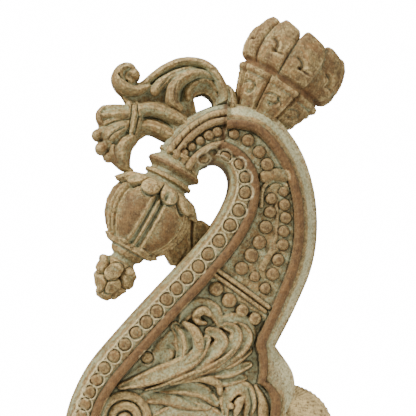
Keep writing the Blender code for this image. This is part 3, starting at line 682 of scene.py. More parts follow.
def turned_shape(name, foot, tilt, profile, segments, rings, surface):
    """A ball drawn out along a tilted axis to a profile. surface gives each point's reach and radius, and
    how flat the piece is there."""
    alone()
    bpy.ops.mesh.primitive_uv_sphere_add(segments=segments, ring_count=rings, radius=1)
    obj = added(name)
    points = read_points(obj)
    profile = np.array(profile, float)
    lengths = np.hypot(*np.diff(profile, axis=0).T)
    before = np.concatenate([[0], np.cumsum(lengths)]) / lengths.sum()
    share = np.arccos(np.clip(-points[:, 2], -1, 1)) / math.pi
    angle = np.arctan2(points[:, 0], -points[:, 1])
    reach, radius = np.interp(share, before, profile[:, 0]), np.interp(share, before, profile[:, 1])
    radius = np.where((share < 1e-5) | (share > 1 - 1e-5), 0, radius)
    reach, radius, flat = surface(reach, radius, angle, share)
    local = np.column_stack([radius * np.sin(angle), -radius * np.cos(angle) * flat, reach]) * GRID
    turn = np.array(Matrix.Rotation(tilt, 3, "Y"))
    write_points(obj, local @ turn.T + np.array(place(*foot)))
    edit(obj, (bpy.ops.mesh.normals_make_consistent, {"inside": False}))
    return obj


# The carved faces


def edge_line(edge, side):
    """One edge of the neck as a fine line, whose third value is the edge's own. Only the outer one has a
    sharp turn."""
    if side == "inner":
        return smooth(edge, STATION_STEPS)
    above, below = edge[: SHOULDER + 1], edge[SHOULDER:]
    return np.vstack([smooth(above, STATION_STEPS), smooth(below, STATION_STEPS)[1:]])


def neck_relief():
    """The neck's front, without its studs and leaves: bevels, band, rims and sunk panels."""
    face = Relief(*NECK_PATCH, FACE)
    inner, outer = edge_line(INNER_EDGE, "inner"), edge_line(OUTER_EDGE, "outer")
    total = [np.concatenate([[0], np.cumsum(np.hypot(*np.diff(e[:, :2], axis=0).T))]) for e in (inner, outer)]
    left, _, u = along(face.c, face.r, inner[:, :2])
    right, _, v = along(face.c, face.r, outer[:, :2])
    rim_in = np.interp(u * total[0][-1], total[0], inner[:, 2])
    bevel = np.interp(v * total[1][-1], total[1], outer[:, 2])
    rim_out = bevel + OUTER_RIM
    uneven = in_steps("tool_marks") * (wander(face.c, face.r, 12, 1) + 0.9 * wander(face.c, face.r, 4, 2))
    slope_in = EDGE + (FACE - 0.6 - EDGE) * np.clip(left / INNER_BEVEL, 0, 1) ** 0.85
    slope_out = EDGE + (FACE - 2.4 - EDGE) * np.clip(right / bevel, 0, 1) ** 0.8
    facet = 1.2 * step(right, bevel * 0.5, bevel * 0.6) * (right < bevel)
    height = np.minimum(slope_in, slope_out + facet)
    band = (left > BAND_FROM) & (left < rim_in - 4)
    height = np.where(band, FACE - BAND_SUNK, height)
    height = np.maximum(height, (FACE + 0.2) * (np.abs(left - FINE_RIDGE) < 0.9) * (right > bevel))
    panel = (left > rim_in) & (right > rim_out)
    # The lower panel starts along a slanting line, and is sunk deeper than the upper one
    lower = step((face.c - 213) * 0.58 + (face.r - 283) * -0.82, 3, -3)
    floor = FACE - PANEL_SUNK - LEAVES_SUNK * lower + 0.8 * lower * wander(face.c, face.r, 34, 21)
    height = np.where(panel, floor, height)
    face.height = height + uneven
    face.coat = -0.2 * panel * (1 - lower)
    face.pale = hump(left, 1.0, FINE_RIDGE) * (right > bevel)
    bulge = hump(face.c, 12, 284) * hump(face.r, 20, 367) * (right < bevel - 2)
    patchy = np.clip(0.5 + 0.3 * wander(face.c, face.r, 26, 17), 0, 0.8)
    face.pale = np.maximum(face.pale, np.maximum(bulge, patchy * step(right / bevel, 0.6, 0.5)))
    for distance, ridge, breadth in ((left, rim_in, INNER_RIM), (right, rim_out, OUTER_RIM)):
        x = np.abs(distance - ridge) / breadth
        other = (right > bevel) if distance is left else (left > rim_in - 6)
        body = FACE - 0.8 + in_steps("rim_rise") * (1 - np.minimum(x, 1) ** 2.6) ** 0.5 + uneven
        face.height = np.where((x < 1) & other, np.maximum(face.height, body), face.height)
        face.height -= 1.3 * hump((x - 1) * breadth, 0.9) * other
        face.ruddy = np.where((x < 1) & other, 1.0, face.ruddy)
    face.within = np.minimum(left, right)
    face.calm = step(face.within, 0.8, 3)
    return face, floor, FACE - PANEL_SUNK


def carve_upper_panel(face, upper):
    """Studs, hood, spine, bars and rosettes of the upper panel."""
    face.roll([(262, 205), (263, 190), (269, 182), (277, 179), (286, 182), (289, 190)], 2.2, 2.2, upper + 0.4)
    face.roll([(266, 176), (276, 173), (286, 175)], 6, 3.4, upper, ruddy=0.2)
    face.groove([(267, 187), (272, 182), (278, 180.5), (286, 183)], 1.3, 2.2)
    face.roll([(279, 246), (272, 252), (263, 268)], 3.4, 2.2, upper, ruddy=0.3, cut=0.6)
    face.roll([(277, 200), (278, 230), (274, 246)], 2.2, 1.2, upper, ruddy=0.4, cut=0.4)
    for column, row, radius in PANEL_STUDS:
        face.stud(column, row, radius, in_steps("stud_rise"), upper, ruddy=0.65)
    for offset, width in ((0, 2.5), (5.4, 2.0)):
        face.roll([(219 - offset * 0.6, 271 + offset * 0.8), (243 - offset * 0.6, 288 + offset * 0.8),
                   (269 - offset * 0.6, 307 + offset * 0.8)], width, 4.6, upper - 0.6, ruddy=0.3, square=3)
    for column, row, radius in ROSETTES:
        face.stud(column, row, radius, 5.6, FACE - 7.2, ruddy=0.4)


def carve_leaves(face, floor):
    """The leaves, berries and volute of the lower panel."""
    for points, width, rise, flutes, lift in LEAVES:
        face.roll(points, width, rise / MAIN_RISE * in_steps("leaf_rise"), floor + lift, flutes, LEAF_SHAPE,
                  cut=0.8, ruddy=0.1, lean=0.22 if flutes == 1 else 0.08)
    for column, row, radius, turn in VOLUTE:
        angles = np.linspace(math.radians(200 - turn * 3), math.radians(200 + 200 + turn), 14)
        ring = [(column + radius * math.cos(a), row + radius * math.sin(a)) for a in angles]
        face.roll(ring, 4.4, 4.6, floor + 0.5, shape=(0.7, 1, 1, 1), cut=0.8)
    for points, width, depth in LEAF_PITS:
        face.groove(points, width, depth)
    face.stud(148, 357, 5.5, 5, floor + 1.5, ring=1.6, ruddy=0.3)
    face.stud(126, 418, 7.5, 6, floor, ruddy=0.2)
    face.stud(231, 405, 3.6, 4, floor + 5, ruddy=0.2)


def carve_neck():
    """The whole relief of the neck's front, with the neck's two edges."""
    face, floor, upper = neck_relief()
    for column, row, radius in STRING:
        face.stud(column, row, radius, 2.2, FACE - BAND_SUNK, ring=1.3, ruddy=0.5)
    carve_upper_panel(face, upper)
    pictures = ("height", "ruddy", "pale", "coat")
    plain = [getattr(face, name).copy() for name in pictures]
    carve_leaves(face, floor)
    inner, outer = edge_line(INNER_EDGE, "inner"), edge_line(OUTER_EDGE, "outer")
    left, _, u = along(face.c, face.r, inner[:, :2])
    right, _, _ = along(face.c, face.r, outer[:, :2])
    rim_in = shaped(u, inner[:, 2])
    on_panel = (left > rim_in + 3) & (right > 14)
    for name, old in zip(pictures, plain):
        setattr(face, name, np.where(on_panel, getattr(face, name), old))
    return face, inner, outer


def marks(obj, relief=None, coat=None, ruddy=None, rounds=(4, 24)):
    """Writes what the finish reads at each point: carving holds crevice, ridge, ruddy and pale, and the
    second attribute holds hollow and coat. The finish darkens the crevices and hollows with dirt and painted
    shade. They come from the relief, or else from how far the smoothed mesh lies off."""
    points, normals = read_points(obj), read_normals(obj)
    ends = np.empty(len(obj.data.edges) * 2, np.int32)
    obj.data.edges.foreach_get("vertices", ends)
    a, b = ends.reshape(-1, 2).T
    n = len(points)
    count = np.maximum(np.bincount(a, minlength=n) + np.bincount(b, minlength=n), 1)
    moved, fields = points.copy(), []
    for k in range(1, max(rounds) + 1):
        moved = np.column_stack([(np.bincount(a, moved[b, i], n) + np.bincount(b, moved[a, i], n)) / count
                                 for i in range(3)])
        if k in rounds:
            fields.append(((moved - points) * normals).sum(1) / GRID)
    fine, broad = fields
    # The crevice and hollow masks darken the finish as dirt and painted shade.
    crevice, ridge = np.clip(fine * 1.4 - 0.05, 0, 1), np.clip(-fine * 2.4 - broad * 0.5, 0, 1)
    hollow, pale = np.clip(broad * 0.8, 0, 1), np.zeros(n)
    coat, ruddy = (np.zeros(n) if values is None else values for values in (coat, ruddy))
    if relief:
        c, r = relief.seen(*on_grid(points))
        front = points[:, 1] < -10 * GRID
        crevice, ridge, hollow = (np.where(front, relief.sample(picture, c, r), old) for picture, old in
                                  zip(relief.shades(), (crevice * 0.3, ridge * 0.3, hollow * 0.5)))
        ruddy = relief.sample(relief.ruddy, c, r) * front
        pale = relief.sample(relief.pale, c, r) * front
        coat = coat + relief.sample(relief.coat, c, r) * front
        stain = relief.sample(relief.stain, c, r)
        crevice, ruddy = np.maximum(crevice, 0.6 * stain), np.maximum(ruddy, stain)
    for name, values in (("carving", (crevice, ridge, ruddy, pale)), ("wear", (hollow, coat, pale, pale))):
        layer = obj.data.color_attributes.new(name, "FLOAT_COLOR", "POINT")
        layer.data.foreach_set("color", np.column_stack(values).astype(np.float32).ravel())


def make_neck():
    """The strut in one block: carved front, plainer back with a sunk panel, and flat sides."""
    face, inner, outer = carve_neck()
    joint = np.array(JOINT_LINE, float) + (JOINT_GAP, 0)
    line = smooth(joint, JOINT_STEPS)
    in_line, out_line = inner[:, :2], outer[:, :2]

    def right_of_joint(p):
        return (p[:, 0] > np.interp(p[:, 1], line[:, 1], line[:, 0])) | (p[:, 1] > line[-1, 1])

    in_line = in_line[right_of_joint(in_line) & (in_line[:, 1] < BASE_ROW)]
    out_line = out_line[right_of_joint(out_line) & (out_line[:, 1] < BASE_ROW)]
    wall = line[(line[:, 1] > out_line[0, 1] + 0.5) & (line[:, 1] < in_line[0, 1] - 0.5)]
    foot = np.array([(70, BASE_ROW), (286, BASE_ROW)], float)
    outline = np.vstack([wall, [JOINT_FOOT], in_line, foot, out_line[::-1]])

    def back(c, r):
        left, _, u = along(c, r, inner[:, :2])
        right, _, _ = along(c, r, outer[:, :2])
        rim = shaped(u, inner[:, 2])
        flat = EDGE + (FACE - EDGE) * np.clip(np.minimum(left / INNER_BEVEL, right / BACK_BEVEL), 0, 1)
        sunk = step(left, rim + 3, rim + 5) * step(right, 17, 19)
        return flat - BACK_SUNK * sunk + 0.3 * wander(c, r, 16, 8)

    neck = carved_slab("neck", outline, face, back)
    points = read_points(neck)
    c, r = on_grid(points)
    front = points[:, 1] < -EDGE * GRID * 0.9
    left, _, _ = along(c, r, inner[:, :2])
    right, _, v = along(c, r, outer[:, :2])
    bevel = shaped(v, outer[:, 2])
    slope = np.maximum(0.1 - step(left, 6, 9),
                       (1 - step(right - bevel, -1, 1)) * step(right / bevel, 0.2, 0.5))
    marks(neck, face, slope * front)
    return neck


def make_arch():
    """The end of the arch from the joint to the collar, with its rims and its studs."""
    face = Relief(*ARCH_PATCH, ARCH_FACE)
    upper_edge, lower_edge = smooth(ARCH_TOP), smooth(ARCH_LOW)
    high, _, _ = along(face.c, face.r, upper_edge)
    deep, _, _ = along(face.c, face.r, lower_edge)
    depth = np.interp(face.c, ARCH_AT, ARCH_DEPTH)
    uneven = 0.2 * wander(face.c, face.r, 10, 3)
    slope = np.minimum(depth * 0.55 + depth * 0.45 * np.clip(high / 9, 0, 1) ** 0.6,
                       depth * 0.55 + depth * 0.4 * np.clip(deep / 9, 0, 1) ** 0.8)
    face.height = slope + uneven
    face.within = np.minimum(high, deep)
    floor = depth - 3.6
    face.height = np.where(inside(face.c, face.r, np.array(ARCH_PANEL)), floor + uneven, face.height)
    for points, width, rise, sunk, ruddy in ARCH_RIMS:
        face.roll(points, width, rise, depth - sunk, ruddy=ruddy)
    for column, row in ARCH_NICKS:
        face.groove([(column - 1, row - 4), (column + 1.5, row + 3)], 0.8, 1.6)
    for column, row, radius in ARM_STUDS:
        face.stud(column, row, radius, 3.6, floor, ruddy=0.6)
    for column, row, radius in ARM_STRING:
        face.stud(column, row, radius, 2, depth * 0.82, ring=0.8, ruddy=0.3)
    joint = smooth(np.array(JOINT_LINE, float) - (JOINT_GAP, 0), JOINT_STEPS)
    wall = joint[(joint[:, 1] > 101) & (joint[:, 1] < 163.5)]
    outline = np.vstack([[JOINT_FOOT], wall[::-1], [(213, 107.5)], upper_edge[upper_edge[:, 0] < 212],
                         [(168, 160), (186, 177)], lower_edge[::-1][lower_edge[::-1][:, 0] < 208]])

    def back(c, r):
        return np.interp(c, ARCH_AT, ARCH_BACK) * 0.98 + 0.3 * wander(c, r, 14, 9)

    arch = carved_slab("arch", outline, face, back)
    marks(arch, face)
    return arch


def upper_leaf(reach, angle):
    """How far the crown's upper leaves stand out: each laps the next, and has a comma cut in it."""
    which, turn = round_axis(angle, CROWN_LEAVES, CROWN_START)
    lap = 2.4 * turn - 3.0 * np.abs(turn) ** 14 + 1.6 * np.cos(turn * math.pi / 2)
    drift = np.sin(which * 2.4 + 0.8)
    across, up = turn * 17 + 5 + 2 * drift, reach - 63 + 2.5 * np.cos(which * 1.7)
    comma = np.hypot(across * 0.85, up * (1.1 + 0.2 * drift)) - 6
    gouge = 5.0 * hump(comma, 1.8, 0.4) * step(across * 0.8 + up * 0.6, -1, 5)
    tail = hump(up + 3 - 0.018 * (across - 12) ** 2, 1.3)
    gouge += 3.0 * tail * step(across, 3, 6) * (1 - step(across, 15, 19))
    gouge -= 1.6 * hump(np.hypot(across + 2.5, up + 1.5), 3.2)
    return lap - gouge


def lower_leaf(reach, place_across):
    """How far the crown's lower leaves stand out, with their raised rims and the loop cut in each."""
    edge = np.abs(place_across)
    out = -3.6 * edge**9 + 1.0 * place_across + 1.4 * hump(edge, 0.09, 0.8)
    out -= 1.6 * hump(reach, 1.2, 31)
    side, high = place_across * 14 + 2, reach - 20
    loop = np.hypot(side, high * 0.9) - 5
    out -= 4.5 * hump(loop, 1.8) * step(side - high * 0.6, -2, 3)
    return out - 2.4 * hump(high - 4 + 0.05 * side**2, 1.3) * (np.abs(side) < 10)


def make_crown():
    """Two tiers of leaves in the round, with a hollow between them that painted shade darkens."""
    tints = {}

    def surface(reach, radius, angle, share):
        _, turn = round_axis(angle, CROWN_LEAVES, CROWN_START)
        _, low = round_axis(angle, CALYX_LEAVES, CALYX_START)
        upper = step(reach, 42, 47)
        fall = step(share, 0.80, 0.86)
        tip = step(reach, 72, 94) * (1 - fall * 0.4)
        reach = reach - tip * (8 * np.abs(turn) ** 7 + 3 * turn)
        radius = radius + upper * upper_leaf(reach, angle) * (1 - fall)
        lower = step(reach, -6, 0) * (1 - step(reach, 37, 40))
        radius = radius + lower * lower_leaf(reach, low)
        rubbed = step(wander(angle * 45, reach, 24, 15), -0.4, 0.5)
        # Painted shade: the ruddy tint round reach 42.5 darkens the hollow between the tiers; the rest of it
        # is rubbed wood.
        tints["ruddy"] = np.clip(0.9 * hump(reach, 3.2, 42.5) + 0.6 * rubbed, 0, 1)
        tints["coat"] = 0.8 * lower * (1 - step(np.abs(low), 0.5, 0.9)) + 0.7 * upper * step(-turn, 0.2, 0.7)
        rough = 0.3 * wander(angle * 45, reach, 9, 4) + 0.26 * wander(angle * 45, reach, 3.6, 14)
        return reach, np.maximum(radius + rough * (radius > 8), 0), CROWN_FLAT

    crown = turned_shape("crown", CROWN_FOOT, CROWN_TILT, CROWN_PROFILE, *CROWN_FACES, surface)
    marks(crown, None, tints["coat"], tints["ruddy"])
    return crown


def sepals(reach, angle):
    """The rounded tongues that hang over the top of the bud, with a cut below their tips."""
    _, petal = round_axis(angle, SEPALS, SEPALS_START)
    tip = 50 - 9 * np.abs(petal) ** 2.2
    on = step(reach, 31, 36) * (1 - step(reach, tip - 0.8, tip + 0.8)) * (1 - step(np.abs(petal), 0.88, 0.96))
    out = on * (3.6 + 3.4 * np.cos(petal * math.pi / 2) + 0.12 * (reach - 34))
    return out - 3.0 * hump(reach - tip, 1.4, 1.8) * (reach > 36)


def hanging_floret(reach, angle):
    """The small cup under the bud, and the two rows of florets that hang from it."""
    _, cup = round_axis(angle, CUP_LEAVES, CUP_START)
    ring = step(reach, 98, 100 + 3 * np.abs(cup)) * (1 - step(reach, 105, 107))
    out = ring * (3.0 + 2.6 * np.cos(cup * math.pi / 2))
    for start, middle, size, tall in FLORET_ROWS:
        _, bloom = round_axis(angle, FLORETS, start)
        ball = 1 - bloom**2 - ((reach - middle - 2 * np.sin(3 * angle)) / tall) ** 2
        out += size * np.maximum(ball, 0) ** 0.4 - 1.8 * hump(ball, 0.2)
    return out


def make_bud():
    """Collar, bud and hanging floret in one turned piece."""
    tints = {}

    def surface(reach, radius, angle, share):
        flat = 1 + (BUD_FLAT - 1) * step(reach, 30, 50) * (1 - step(reach, 100, 110))
        _, lobe = round_axis(angle, BUD_LOBES, LOBES_START)
        edge = (1 - np.abs(lobe)) * math.pi * np.maximum(radius, 5) / BUD_LOBES
        body = step(reach, 36, 46) * (1 - step(reach, 97, 104))
        swell = 7.2 * np.cos(lobe * math.pi / 2) - 5.6 + 5.6 * hump(edge, 1.4)
        swell -= 3.0 * hump(edge, 1.7, 4.2) - 1.8 * hump(edge, 1.3, 7.8)
        rubbed = step(wander(angle * 35, reach * 0.4, 22, 12), -0.5, 0.5)
        tints["coat"] = body * hump(edge, 2.4, 4.4)
        tints["ruddy"] = 0.75 * body * step(edge, 8, 12) * rubbed
        out = body * swell + sepals(reach, angle) + hanging_floret(reach, angle)
        out += 0.22 * wander(angle * 35, reach, 8, 6) + 0.16 * wander(angle * 35, reach, 3.4, 16)
        return reach, np.maximum(radius + out * (radius > 4), 0), flat

    bud = turned_shape("bud", BUD_TOP, math.pi + BUD_TILT, BUD_PROFILE, *BUD_FACES, surface)
    c, r = on_grid(read_points(bud))
    reach = (r - BUD_TOP[1]) * math.cos(BUD_TILT) - (c - BUD_TOP[0]) * math.sin(BUD_TILT)
    coat = hump(reach, 4, 8) + 0.7 * hump(reach, 9, 42) + tints["coat"]
    ruddy = hump(reach, 2.2, 14) + tints["ruddy"] * step(reach, 50, 58)
    marks(bud, None, np.clip(coat, 0, 1), np.clip(ruddy, 0, 0.9))
    return bud


def near_lines(obj, lines, width):
    """How near each point of a piece lies to lines on the face, 1 on them."""
    c, r = on_grid(read_points(obj))
    return np.max([hump(along(c, r, smooth(line))[0], width) for line in lines], axis=0)


def make_leaf():
    """The curled leaf above the arch, with the knob beside it."""
    leaf = fused("curled_leaf", LEAF_ROLLS, FOLIAGE_VOXEL, [back_web("curled_leaf", LEAF_WEB, -8, 16)])
    cut_lines(leaf, LEAF_CUTS)
    thin_out(leaf, MOST_FOLIAGE)
    deepest = [LEAF_CUTS[0][0], LEAF_CUTS[2][0]]
    marks(leaf, None, near_lines(leaf, deepest, 4), near_lines(leaf, LEAF_RUBBED, 4) * 0.6)
    return leaf


def make_flower():
    """The two stems with their bands, and the flower that they end in."""
    flower = fused("flower_stem", STEM_ROLLS, FOLIAGE_VOXEL, [back_web("flower_stem", STEM_WEB, -7, 9)])
    cut_lines(flower, STEM_CUTS)
    thin_out(flower, MOST_FOLIAGE)
    marks(flower, None, near_lines(flower, STEM_PAINTED, 5), near_lines(flower, STEM_RUBBED, 3.5) * 0.6)
    return flower


def back_web(name, outline, near, far):
    """The plain wood behind a carved piece, from near to far in grid steps along Y."""
    alone()
    bpy.ops.mesh.primitive_circle_add(vertices=len(outline), radius=1, fill_type="NGON")
    web = added(name)
    points = np.array([place(column, row, near * GRID) for column, row in outline])
    write_points(web, points)
    edit(web, (bpy.ops.mesh.extrude_region_move,
               {"TRANSFORM_OT_translate": {"value": (0, (far - near) * GRID, 0)}}),
         (bpy.ops.mesh.select_all, {"action": "SELECT"}),
         (bpy.ops.mesh.quads_convert_to_tris, {}),
         (bpy.ops.mesh.normals_make_consistent, {"inside": False}))
    return web


def make_seat():
    """The rough block that joins the bud to the neck."""
    seat = back_web("seat_block", SEAT, -8, 17)
    apply_modifier(seat, "BEVEL", width=SEAT_ROUNDING, segments=2, limit_method="ANGLE")
    apply_modifier(seat, "REMESH", mode="VOXEL", voxel_size=SEAT_VOXEL)
    cut_lines(seat, SEAT_CUTS, 0.45)
    marks(seat)
    return seat


def make_scroll():
    """The rounded scroll at the foot, combed with fine curved grooves."""
    alone()
    segments, rings = SCROLL_FACES
    bpy.ops.mesh.primitive_uv_sphere_add(segments=segments, ring_count=rings, radius=1)
    scroll = added("foot_scroll")
    column, row = SCROLL
    sizes = np.array([SCROLL_RADIUS, SCROLL_DEPTH, SCROLL_RADIUS]) * GRID
    points = read_points(scroll) * sizes + np.array(place(column, row))
    points[:, 2] = np.maximum(points[:, 2], 0)
    write_points(scroll, points)
    normals = read_normals(scroll)
    c, r = on_grid(points)
    around = np.arctan2(r - row + 30, c - column + 10)
    comb = np.sin(around * 60 + 0.6 * wander(c, r, 20, 3))
    fade = step(np.hypot(c - column, r - row), 18, 26)
    points += normals * (comb * 0.35 * fade + 0.3 * wander(c, r, 14, 4))[:, None] * GRID
    points[:, 2] = np.maximum(points[:, 2], 0)
    write_points(scroll, points)
    thin_out(scroll, MOST_SCROLL)
    marks(scroll)
    return scroll


# Finishes


def linear(red, green, blue):
    """A colour for a shader from its everyday display values."""
    values = [v / 12.92 if v <= 0.04045 else ((v + 0.055) / 1.055) ** 2.4 for v in (red, green, blue)]
    return (*values, 1)


def group(name, takes, gives):
    """An empty node group with named sockets, each (name, kind, default)."""
    tree = bpy.data.node_groups.new(name, "ShaderNodeTree")
    for label, kind, value in takes:
        socket = tree.interface.new_socket(name=label, in_out="INPUT", socket_type="NodeSocket" + kind)
        socket.default_value = value
    for label, kind in gives:
        tree.interface.new_socket(name=label, in_out="OUTPUT", socket_type="NodeSocket" + kind)
    return tree, tree.nodes.new("NodeGroupInput").outputs, tree.nodes.new("NodeGroupOutput").inputs


def node(tree, kind, inputs=None, **settings):
    """A node with its settings, whose inputs are values or other nodes' outputs."""
    made = tree.nodes.new("ShaderNode" + kind)
    for key, value in settings.items():
        setattr(made, key, value)
    for key, value in (inputs or {}).items():
        if isinstance(value, bpy.types.NodeSocket):
            tree.links.new(value, made.inputs[key])
        else:
            made.inputs[key].default_value = value
    return made


def maths(tree, operation, first, second, clamp=False):
    return node(tree, "Math", {0: first, 1: second}, operation=operation, use_clamp=clamp).outputs[0]


def times(tree, first, second, clamp=False):
    return maths(tree, "MULTIPLY", first, second, clamp)


def plus(tree, first, second):
    return maths(tree, "ADD", first, second)


def ramp(tree, value, low, high):
    """0 at low and 1 at high, clamped and eased."""
    return node(tree, "MapRange", {"Value": value, "From Min": low, "From Max": high},
                interpolation_type="SMOOTHSTEP").outputs["Result"]


def mixed(tree, share, first, second):
    made = tree.nodes.new("ShaderNodeMix")
    made.data_type = "RGBA"
    for socket, value in zip((made.inputs[0], made.inputs[6], made.inputs[7]), (share, first, second)):
        if isinstance(value, bpy.types.NodeSocket):
            tree.links.new(value, socket)
        else:
            socket.default_value = value
    return made.outputs[2]


def grain_group():
    """Weathered grain: streaks along the timber, blotches, flecks and specks."""
    tree, takes, gives = group("Weathered Grain",
                               [("Vector", "Vector", (0, 0, 0)), ("Fineness", "Float", 1.0)],
                               [("Shade", "Float"), ("Height", "Float"), ("Specks", "Float")])
    scaled = node(tree, "VectorMath", {0: takes["Vector"], "Scale": takes["Fineness"]}, operation="SCALE")
    drawn = node(tree, "Mapping", {"Vector": scaled.outputs[0], "Rotation": (0, 0.35, 0),
                                   "Scale": (1, 1, 0.16)})
    turned = node(tree, "Mapping", {"Vector": scaled.outputs[0], "Rotation": (0.7, 0.5, 0.9)})
    streak = node(tree, "TexNoise", {"Vector": drawn.outputs[0], "Scale": 520, "Detail": 4,
                                     "Roughness": 0.62})
    blotch = node(tree, "TexNoise", {"Vector": turned.outputs[0], "Scale": 95, "Detail": 6, "Roughness": 0.7,
                                     "Distortion": 0.8})
    fleck = node(tree, "TexNoise", {"Vector": turned.outputs[0], "Scale": 620, "Detail": 2, "Roughness": 0.6})
    both = plus(tree, times(tree, streak.outputs[0], 0.3), times(tree, blotch.outputs[0], 0.5))
    both = plus(tree, both, times(tree, fleck.outputs[0], 0.2))
    tree.links.new(ramp(tree, both, 0.36, 0.64), gives["Shade"])
    speck = node(tree, "TexNoise", {"Vector": turned.outputs[0], "Scale": 170, "Detail": 6,
                                    "Roughness": 0.8})
    tree.links.new(speck.outputs[0], gives["Specks"])
    height = plus(tree, times(tree, streak.outputs[0], 0.7), times(tree, fleck.outputs[0], 0.5))
    tree.links.new(height, gives["Height"])
    return tree


def paint_group():
    """What is left of old paint: thick in the hollows, gone from the ridges, and broken into patches."""
    tree, takes, gives = group("Old Paint", [("Vector", "Vector", (0, 0, 0)), ("Hollow", "Float", 0.0),
                                             ("Ridge", "Float", 0.0), ("Coat", "Float", 0.0),
                                             ("Amount", "Float", 0.5)],
                               [("Paint", "Float"), ("Flakes", "Float")])
    turned = node(tree, "Mapping", {"Vector": takes["Vector"], "Rotation": (0.4, 0.9, 0.3)}).outputs[0]
    patch = node(tree, "TexNoise", {"Vector": turned, "Scale": 48, "Detail": 5, "Roughness": 0.65,
                                    "Distortion": 0.6})
    flake = node(tree, "TexNoise", {"Vector": turned, "Scale": 280, "Detail": 5, "Roughness": 0.75})
    kept = plus(tree, times(tree, patch.outputs[0], 1.7), times(tree, flake.outputs[0], 1.3))
    kept = plus(tree, kept, times(tree, takes["Hollow"], 0.45))
    kept = maths(tree, "SUBTRACT", kept, times(tree, takes["Ridge"], 0.55))
    kept = plus(tree, kept, takes["Amount"])
    kept = plus(tree, kept, times(tree, takes["Coat"], 0.42))
    tree.links.new(ramp(tree, kept, 1.65, 2.35), gives["Paint"])
    tree.links.new(flake.outputs[0], gives["Flakes"])
    return tree


def bare_wood(tree, where, grain, ruddy, shades):
    """The wood itself: its grain, warmer patches in it, and the ruddy rims and studs."""
    wood = mixed(tree, grain.outputs["Shade"], shades["dark"], shades["wood"])
    warm = node(tree, "TexNoise", {"Vector": where, "Scale": 70, "Detail": 4, "Roughness": 0.6,
                                   "Distortion": 1.0})
    wood = mixed(tree, times(tree, ramp(tree, warm.outputs[0], 0.46, 0.62), 0.55), wood, shades["warm"])
    rubbed = mixed(tree, grain.outputs["Shade"], shades["ruddy_dark"], shades["ruddy"])
    return mixed(tree, ruddy, wood, rubbed)


def painted(tree, wood, ruddy, hollow, paint, shades, tint):
    """The wood under what is left of the paint, which has its own tint where it is freshest."""
    left = times(tree, paint.outputs["Paint"], maths(tree, "SUBTRACT", 0.85, ruddy), True)
    fresh = ramp(tree, plus(tree, paint.outputs["Flakes"], times(tree, hollow, 0.15)), 0.46, 0.66)
    return mixed(tree, left, wood, mixed(tree, fresh, shades["paint"], linear(*tint)))


def weathered(tree, colour, carving, hollow, grain, paint, shades):
    """Worn ridges, pale lines and specks over the painted wood, and dirt with painted shade in the crevices
    and hollows.
    """
    parts = node(tree, "SeparateColor", {0: carving.outputs["Color"]}).outputs
    chips = ramp(tree, paint.outputs["Flakes"], 0.38, 0.62)
    bare = maths(tree, "SUBTRACT", 1.0, times(tree, parts[2], 0.9), True)
    worn = times(tree, ramp(tree, parts[1], 0.2, 0.9), times(tree, chips, bare))
    colour = mixed(tree, times(tree, worn, 0.85), colour, shades["worn"])
    cover = node(tree, "MapRange", {"Value": chips, "To Min": 0.25, "To Max": 0.95}).outputs[0]
    colour = mixed(tree, times(tree, carving.outputs["Alpha"], cover), colour, shades["cream"])
    # Painted shade with some dirt: the broad hollows are darkened towards the dark grain colour.
    colour = mixed(tree, times(tree, hollow, 0.24), colour, shades["dark"])
    speck = grain.outputs["Specks"]
    light = times(tree, ramp(tree, speck, 0.53, 0.64), bare)
    colour = mixed(tree, times(tree, light, 0.4), colour, shades["worn"])
    colour = mixed(tree, times(tree, ramp(tree, speck, 0.47, 0.36), 0.6), colour, shades["dark"])
    # Painted shade with dirt: the deepest crevices are darkened towards the crevice colour.
    return mixed(tree, times(tree, ramp(tree, parts[0], 0.1, 1.0), 0.62), colour, shades["crevice"])


def wood_finish(name, finish, amount, tint, shared):
    """Weathered wood with worn paint, with dirt and painted shade in its crevices and hollows, from the two
    attributes that marks writes and Object coordinates. amount is how much paint is left, and tint its colour
    where it is freshest."""
    made = bpy.data.materials.new(name)
    made.use_nodes = True
    tree = made.node_tree
    shader = tree.nodes["Principled BSDF"]
    shades = {key: linear(*value) for key, value in finish.items()}
    where = node(tree, "TexCoord").outputs["Object"]
    carving = node(tree, "Attribute", attribute_name="carving")
    parts = node(tree, "SeparateColor", {0: carving.outputs["Color"]}).outputs
    # This attribute holds the broad hollows, which are darkened as painted shade and dirt, and the paint
    # coat.
    shade_and_coat_at = node(tree, "Attribute", attribute_name="wear")
    hollow, coat = node(tree, "SeparateColor", {0: shade_and_coat_at.outputs["Color"]}).outputs[:2]
    grain = node(tree, "Group", {"Vector": where}, node_tree=shared["grain"])
    paint = node(tree, "Group", {"Vector": where, "Hollow": hollow, "Ridge": parts[1], "Coat": coat,
                                 "Amount": amount}, node_tree=shared["paint"])
    ruddy = times(tree, parts[2], 0.85)
    wood = bare_wood(tree, where, grain, ruddy, shades)
    colour = painted(tree, wood, ruddy, hollow, paint, shades, tint)
    colour = weathered(tree, colour, carving, hollow, grain, paint, shades)
    tree.links.new(colour, shader.inputs["Base Color"])
    rough = node(tree, "MapRange", {"Value": grain.outputs["Height"], "To Min": 0.62, "To Max": 0.92})
    tree.links.new(rough.outputs[0], shader.inputs["Roughness"])
    shader.inputs["Specular IOR Level"].default_value = 0.3
    height = plus(tree, grain.outputs["Height"], times(tree, paint.outputs["Paint"], 0.35))
    bump = node(tree, "Bump", {"Height": height, "Strength": 0.7, "Distance": 0.0016})
    tree.links.new(bump.outputs[0], shader.inputs["Normal"])
    return made


def finish_colours(settings):
    return {key: tuple(getattr(settings, key)) for key in
            ("wood", "dark", "warm", "ruddy", "ruddy_dark", "paint", "worn", "cream", "crevice")}


def shared_groups():
    have = bpy.data.node_groups
    return {"grain": have.get("Weathered Grain") or grain_group(),
            "paint": have.get("Old Paint") or paint_group()}


